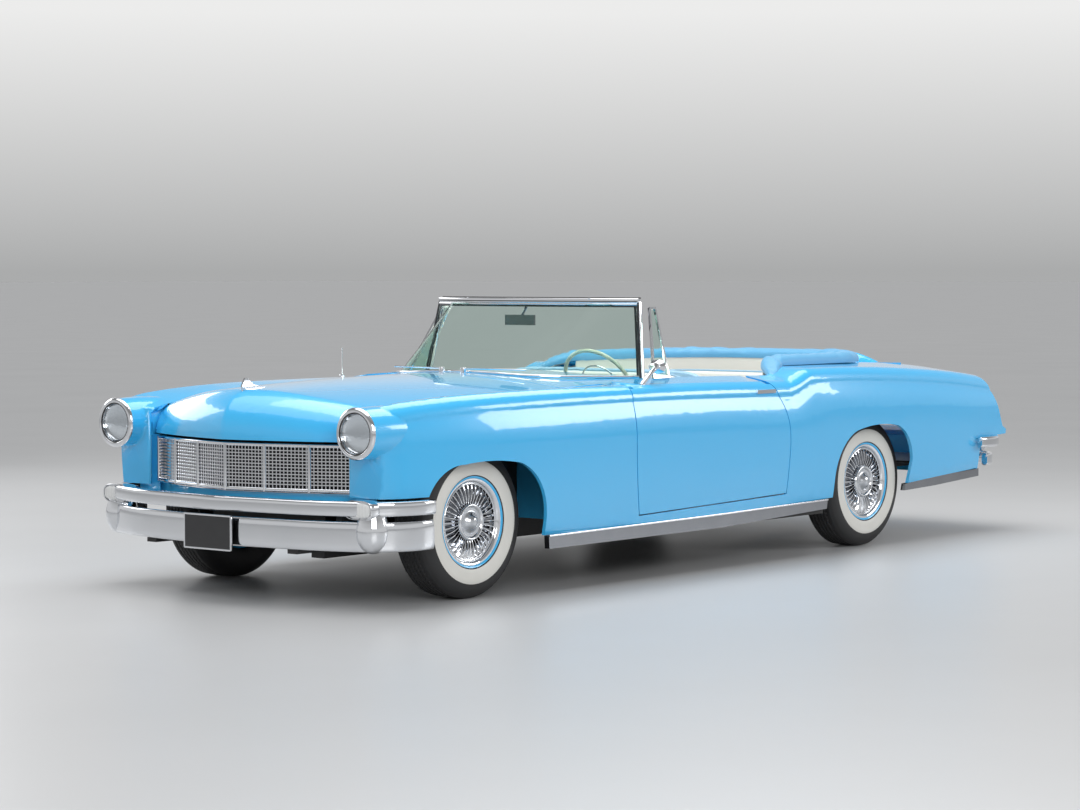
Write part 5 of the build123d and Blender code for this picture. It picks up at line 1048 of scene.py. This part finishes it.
@dataclass
class Cabin:
    """Seats, door cards, dash and the wheel's brightwork."""

    card_middle: Triple = (-1.660, 0.7945, 0.640)
    dash: Pair = (-1.2905, 0.915)
    dial_y: Sequence[float] = (0.30, 0.46)
    knob_y: Sequence[float] = (0.12, -0.04, -0.16)
    wheel_centre: Triple = (-1.500, 0.380, 0.905)
    column_tilt: float = 30.0
    back_tilt: float = 101.5

    def build(self) -> None:
        """Makes every piece of the cabin that isn't a copy of a CAD node."""
        Pad("front_cushion", (front(-1.660), 0, 0.516), (0.208, 0.642, 0.066), -4.0, ["front_seat"]).build()
        Pad("front_backrest", (front(-1.985), 0, 0.765), (0.212, 0.640, 0.050), self.back_tilt).build()
        Pad("rear_cushion", (rear(0.330), 0, 0.518), (0.205, 0.575, 0.060), -4.0, ["rear_seat"]).build()
        Pad("rear_backrest", (rear(0.020), 0, 0.760), (0.180, 0.575, 0.052), 103.0).build()
        plinths = [placed(pillow((0.215, 0.625, 0.072), 9.0), (front(-1.700), 0, 0.386)),
                   placed(pillow((0.215, 0.570, 0.040), 9.0), (rear(0.320), 0, 0.494))]
        back = placed(pillow((0.222, 0.646, 0.020), 9.0), (front(-2.037), 0, 0.752), tilt=self.back_tilt)
        add_piece("bench_bases", join([*plinths, back]), BLUE_HIDE)
        for side in Side:
            self._door_card(side)
        self._dash()
        self._horn_ring()

    def _door_card(self, side: Side) -> None:
        """Trimmed panel inside a door, with its foot panel, armrest, bright strip, crank and handle."""
        word, body = side.word, f"door_{side.word}"
        place = from_front([self.card_middle])[0]
        for name, half, power, step, finish in (
                ("door_card", (0.560, 0.0045, 0.262), 12.0, (0, 0, 0), CREAM),
                ("door_kick", (0.548, 0.0040, 0.085), 10.0, (0.0, -0.0055, -0.165), BLUE_HIDE),
                ("armrest", (0.190, 0.026, 0.030), 3.5, (-0.10, -0.024, 0.075), BLUE_HIDE)):
            add_piece(f"{name}_{word}", placed(pillow(half, power), place + step, side), finish, body)
        strip = place + [(0.50, -0.008, -0.072), (0.0, -0.0085, -0.068), (-0.52, -0.008, -0.072)]
        path = curve_through(mirrored(strip, side), 30)
        add_piece(f"door_strip_{word}", swept(path, rounded_box(0.003, 0.006, 2.5, 12)), CHROME, body)
        pulls = []
        for foot, back, rise in (((0.20, -0.005, 0.02), -0.075, 0.03), ((0.36, -0.005, 0.06), -0.09, 0.0)):
            arm = place + foot + [(0, 0, 0), (0, -0.020, 0), (back * 0.3, -0.026, rise * 0.3), (back, -0.028, rise),
                                  (back, -0.045, rise)]
            pulls.append(swept(curve_through(mirrored(arm, side), 24), rounded_box(0.0055, 0.0045, 2.0, 10),
                               (0, 0.1, 1)))
        add_piece(f"door_pulls_{word}", join(pulls), CHROME, body)

    def _discs(self, profile: Sequence[Pair], places: Sequence[Triple]) -> Shape:
        """Turns a profile of (ahead, radius) about a level line through each place on the dash."""
        discs = (turned(profile, place, AHEAD, ASIDE, 40) for place in places)
        return join([(points, quads[:, ::-1]) for points, quads in discs])

    def _dash(self) -> None:
        """Two round dials with plain faces and needles, a bright strip across the dash and three knobs."""
        x, z = front(self.dash[0]), self.dash[1]
        dials = [(x, y, z) for y in self.dial_y]
        add_piece("dial_rings", self._discs([(0.0, 0.040), (-0.010, 0.040), (-0.012, 0.044), (-0.008, 0.049),
                                             (0.0, 0.050)], dials), CHROME)
        add_piece("dial_faces", self._discs([(0.0, 0.0001), (0.0, 0.041), (-0.003, 0.041), (-0.003, 0.0001)], dials),
                  PLATE_BLACK)
        needle = np.array([(-0.005, 0, 0), (-0.005, 0.010, 0.015), (-0.005, 0.018, 0.030)])
        needles = [swept(needle + dial, rounded_box(0.0008, 0.0008, 2.0, 6), AHEAD) for dial in dials]
        add_piece("dial_needles", join(needles), IVORY)
        path = np.linspace([x - 0.001, 0.20, z], [x - 0.001, -0.640, z], 20)
        add_piece("dash_strip", swept(path, rounded_box(0.003, 0.022, 6.0, 20)), SATIN_METAL)
        knob = [(0.0, 0.0001), (0.0, 0.009), (-0.016, 0.010), (-0.018, 0.008), (-0.018, 0.0001)]
        add_piece("dash_knobs", self._discs(knob, [(x - 0.002, y, z) for y in self.knob_y]), CHROME)

    def _horn_ring(self) -> None:
        """Thin bright ring and boss on the steering wheel, square to its tilted column."""
        tilt = math.radians(self.column_tilt)
        axis = (-math.cos(tilt), 0, math.sin(tilt))
        ring = rounded_box(0.004, 0.004, 2.0, 10)[:, ::-1] + [0.010, 0.112]
        boss = [(0.006, 0.034), (0.016, 0.031), (0.023, 0.020), (0.025, 0.0003)]
        centre = from_front([self.wheel_centre])[0]
        add_piece("horn_ring", join([turned(profile, centre, axis, ASIDE, 64) for profile in (ring, boss)]), CHROME,
                  "steering_wheel")


@dataclass
class SideTrim:
    """Bright beads on the sill trims and the plain plate's frame."""

    sill: Sequence[Triple] = ((-0.410, 0.9460, 0.2610), (-1.080, 0.9465, 0.2660), (-1.746, 0.9465, 0.2710),
                              (-2.240, 0.9465, 0.2785), (-2.702, 0.9460, 0.2850))
    plate_inset: float = 0.004

    def build(self) -> None:
        """Makes the beads and the frame."""
        for side in Side:
            path = curve_through(mirrored(from_front(self.sill), side), 60)
            add_piece(f"sill_bead_{side.word}", swept(path, rounded_box(0.004, 0.0055, 2.5, 14)), CHROME)
        low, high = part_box("plate_front")
        x, z = high[0] + 0.001, (low[2] + high[2]) / 2
        half_wide, half_high = high[1] - self.plate_inset, (high[2] - low[2]) / 2 - self.plate_inset
        corners = [(x, across * half_wide, z + above * half_high)
                   for across, above in ((1, 1), (-1, 1), (-1, -1), (1, -1), (1, 1))]
        bars = [swept(np.linspace(start, end, 5), rounded_box(0.0045, 0.0035, 3.0, 12), AHEAD)
                for start, end in zip(corners, corners[1:])]
        add_piece("plate_frame", join(bars), CHROME)


# ---- body panels and the rest of the CAD nodes --------------------------------------------------
WALL_LEAN = 0.25
LEVEL_LEAN = 0.5
OUTER_SKIN_Y = 0.93
FENDER_WALL_TOP = 0.86
GRILLE_BACK = 0.47
APRON_Y, APRON_TOP = 0.66, 0.84
ARCH_BACK = -0.45
ARCH_TOP, TAIL_TOP = 0.90, 0.50
CABIN_Y, CABIN_FLOOR = 0.86, 0.40
CABIN_ENDS = (0.0, 0.900)
TAIL_LENS_SPLIT = 0.640


@dataclass(frozen=True)
class Lining:
    """A second finish of a panel and the test that picks its faces from their middles and normals."""

    finish: Finish
    test: Callable[[Array, Array], Array]


def inward(centres: Array, normals: Array) -> Array:
    """How far each face looks away from the car's middle: negative on an inner wall."""
    return normals[:, 1] * np.sign(centres[:, 1])


def hidden(centres: Array, normals: Array) -> tuple[Array, Array]:
    """Steep faces of a panel's inner wall, and its undersides short of the outer skin."""
    wall = (inward(centres, normals) < -WALL_LEAN) & (np.abs(normals[:, 2]) < WALL_LEAN)
    return wall, (normals[:, 2] < -LEVEL_LEAN) & (np.abs(centres[:, 1]) < OUTER_SKIN_Y)


def under_fender(centres: Array, normals: Array) -> Array:
    """Inner wall, underside and apron of a front fender, behind the grille."""
    wall, hollow = hidden(centres, normals)
    apron = (np.abs(centres[:, 1]) < APRON_Y) & (centres[:, 2] < APRON_TOP)
    wall &= centres[:, 2] < FENDER_WALL_TOP
    return (wall | hollow | apron) & (centres[:, 0] < front(GRILLE_BACK))


def under_quarter(centres: Array, normals: Array) -> Array:
    """Inner wall and wheelhouse of a rear quarter, below its top."""
    wall, hollow = hidden(centres, normals)
    top = np.where(centres[:, 0] > rear(ARCH_BACK), ARCH_TOP, TAIL_TOP)
    return (wall | hollow) & (centres[:, 2] < top)


def cabin_wall(centres: Array, normals: Array) -> Array:
    """Faces of a rear quarter that look into the cabin."""
    back, ahead = (rear(distance) for distance in CABIN_ENDS)
    along = (centres[:, 0] > back) & (centres[:, 0] < ahead)
    level = (centres[:, 2] > CABIN_FLOOR) & (np.abs(centres[:, 1]) < CABIN_Y)
    return level & along & (inward(centres, normals) < -WALL_LEAN)


def upper_side(_: Array, normals: Array) -> Array:
    """Faces that look up."""
    return normals[:, 2] > LEVEL_LEAN


def lower_lens(centres: Array, _: Array) -> Array:
    """Lower part of the tail lamps."""
    return centres[:, 2] < TAIL_LENS_SPLIT


PLAIN_NODES: dict[str, Finish] = {
    "fender_left": PAINT, "fender_right": PAINT, "hood": PAINT, "cowl": PAINT, "door_left": PAINT,
    "door_right": PAINT, "quarter_left": PAINT, "quarter_right": PAINT, "deck_lid": PAINT, "rear_deck": PAINT,
    "tail_panel": PAINT, "dashboard": PAINT, "hood_ornament": CHROME, "windscreen_glass": GLASS,
    "sill_trims": DARK_CHROME_AND_SHADE, "plate_front": PLATE_BLACK, "rear_bumper": CHROME, "tail_lamps": RED_LENS,
    "engine": CASTING, "radiator": UNDERBODY, "side_trim": CREAM, "knuckle_left": CASTING,
    "knuckle_right": CASTING, "front_suspension": UNDERBODY, "rear_axle": UNDERBODY, "exhaust": EXHAUST,
    "fuel_tank": UNDERBODY, "frame_rails": UNDERBODY, "floor_pan": UNDERBODY, "steering_wheel": IVORY,
    "steering_column": IVORY_PAINT, "inside_mirror": DARK_CHROME_AND_SHADE, "wipers": CHROME,
    "door_brightwork_left": CHROME, "door_brightwork_right": CHROME, "vent_glass_left": GLASS,
    "vent_glass_right": GLASS,
}
FENDER_LININGS = [Lining(UNDERBODY, under_fender)]
QUARTER_LININGS = [Lining(UNDERBODY, under_quarter), Lining(CREAM, cabin_wall)]
LININGS: dict[str, Sequence[Lining]] = {
    "fender_left": FENDER_LININGS, "fender_right": FENDER_LININGS, "quarter_left": QUARTER_LININGS,
    "quarter_right": QUARTER_LININGS, "floor_pan": [Lining(CARPET, upper_side)],
    "tail_lamps": [Lining(FROSTED_LENS, lower_lens)],
}


# ---- studio -------------------------------------------------------------------------------------
def cool(level: float) -> Triple:
    """Grey of a level with a trace of blue."""
    return level, level * 1.005, level * 1.01


@dataclass
class Studio:
    """Pale floor, soft lamps, pale surroundings and the camera.

    The surroundings are two runs of (height looked at, colour): what the car reflects, and what
    the camera sees behind it. The second run is painted shade near the horizon, the grey of the
    far floor, rising to the pale wall.
    """

    camera_place: Triple = (11.5665, 9.2127, 1.4818)
    camera_yaw: float = 219.6178
    camera_pitch: float = -2.7091
    camera_roll: float = -0.0963
    focal_mm: float = 94.50
    sun_power: float = 1.1
    sun_spread: float = 60.0
    sun_lean: Pair = (12.0, 10.0)
    floor_reach: float = 300.0
    view_reach: float = 1000.0
    air_strength: float = 0.80
    air: Sequence[tuple[float, Triple]] = ((0.0, (0.72, 0.73, 0.74)), (0.03, cool(0.78)), (0.18, cool(0.80)),
                                           (0.45, cool(0.42)), (0.6, cool(0.30)), (1.0, (0.55, 0.56, 0.58)))
    # The backdrop's grey at the horizon is painted shade: it matches the far floor's grey, then rises to the pale wall.
    backdrop: Sequence[tuple[float, Triple]] = ((0.0, (0.405, 0.41, 0.412)), (0.09, (0.84, 0.84, 0.835)))

    def build(self) -> None:
        """Makes the floor, the lamps, the world and the camera."""
        self._floor()
        self._world()
        self._lamp("overhead", (0.0, 0.0, 4.6), (0.0, 0.0, 0.0), (7.5, 3.2), 190.0)
        self._daylight()
        self._lamp("front_left", (6.5, 6.5, 3.4), (0.6, 0.0, 0.6), (4.0, 2.4), 190.0)
        self._lamp("rear_left", (-5.5, 6.0, 3.2), (-1.0, 0.0, 0.6), (4.0, 2.2), 150.0)
        self._lamp("far_side", (1.0, -7.0, 3.2), (0.0, 0.0, 0.8), (6.0, 2.0), 120.0)
        self._camera()

    def _floor(self) -> None:
        """A wide pale floor with a soft polish."""
        mesh = bpy.data.meshes.new("studio_floor")
        corners = ((-1, -1, 0), (1, -1, 0), (1, 1, 0), (-1, 1, 0))
        mesh.from_pydata([tuple(self.floor_reach * value for value in corner) for corner in corners], [],
                         [(0, 1, 2, 3)])
        floor = shown("studio_floor", mesh)
        mesh.materials.append(FLOOR.material())

    def _world(self) -> None:
        """Pale surroundings, a little darker towards the floor so that bright metal shows a horizon; behind the car,
        painted shade near the horizon.
        """
        world = bpy.data.worlds.new("studio_air")
        bpy.context.scene.world = world
        world.use_nodes = True
        nodes, links = world.node_tree.nodes, world.node_tree.links
        split = nodes.new("ShaderNodeSeparateXYZ")
        links.new(nodes.new("ShaderNodeTexCoord").outputs["Generated"], split.inputs[0])
        choice = nodes.new("ShaderNodeMixShader")
        links.new(nodes.new("ShaderNodeLightPath").outputs["Is Camera Ray"], choice.inputs["Fac"])
        shades = (filled(nodes["Background"], {"Strength": self.air_strength}), nodes.new("ShaderNodeBackground"))
        for shade, stops, chosen in zip(shades, (self.air, self.backdrop), choice.inputs[1:]):
            ramp = nodes.new("ShaderNodeValToRGB")
            links.new(split.outputs["Z"], ramp.inputs["Fac"])
            marks = ramp.color_ramp.elements
            for mark, (place, colour) in zip(marks, (stops[0], stops[-1])):
                mark.position, mark.color = place, (*colour, 1)
            for place, colour in stops[1:-1]:
                marks.new(place).color = (*colour, 1)
            links.new(ramp.outputs["Color"], shade.inputs["Color"])
            links.new(shade.outputs[0], chosen)
        links.new(choice.outputs[0], nodes["World Output"].inputs["Surface"])

    def _lamp(self, name: str, place: Triple, aim: Triple, size: Pair, power: float) -> None:
        """A rectangular soft lamp that points at a spot."""
        light = bpy.data.lights.new(name, "AREA")
        light.shape = "RECTANGLE"
        light.size, light.size_y = size
        light.energy = power
        lamp = shown(name, light)
        lamp.location = place
        lamp.rotation_euler = (Vector(aim) - Vector(place)).to_track_quat("-Z", "Y").to_euler()

    def _daylight(self) -> None:
        """Very soft sun that lights the far floor as much as the near floor."""
        light = bpy.data.lights.new("daylight", "SUN")
        light.energy = self.sun_power
        light.angle = math.radians(self.sun_spread)
        shown("daylight", light).rotation_euler = (*map(math.radians, self.sun_lean), 0)

    def _camera(self) -> None:
        """Camera at the measured place, turned by yaw, pitch and roll."""
        lens = bpy.data.cameras.new("studio_camera")
        lens.sensor_width = 36.0
        lens.lens = self.focal_mm
        lens.clip_end = self.view_reach
        camera = shown("studio_camera", lens)
        yaw, pitch = math.radians(self.camera_yaw), math.radians(self.camera_pitch)
        ahead = Vector((math.cos(pitch) * math.cos(yaw), math.cos(pitch) * math.sin(yaw), math.sin(pitch)))
        turn = ahead.to_track_quat("-Z", "Y").to_matrix().to_4x4()
        roll = Matrix.Rotation(math.radians(self.camera_roll), 4, "Z")
        camera.matrix_world = Matrix.Translation(self.camera_place) @ turn @ roll
        bpy.context.scene.camera = camera


def main() -> None:
    """Builds every sub-assembly in order."""
    logging.basicConfig(level=logging.INFO, format="%(name)s: %(message)s")
    bpy.context.scene.view_settings.view_transform = "Standard"
    Studio().build()
    for place in ("front_left", "front_right", "rear_left", "rear_right"):
        Wheel(place, Side.LEFT if place.endswith("left") else Side.RIGHT).build()
    Grille().build()
    for side in Side:
        Headlamp(side).build()
    FrontBumper().build()
    Windscreen().build()
    Cabin().build()
    Boot().build()
    SideTrim().build()
    for node, finish in PLAIN_NODES.items():
        dressed_node(node, finish, LININGS.get(node, ()))


if __name__ == "__main__":
    main()
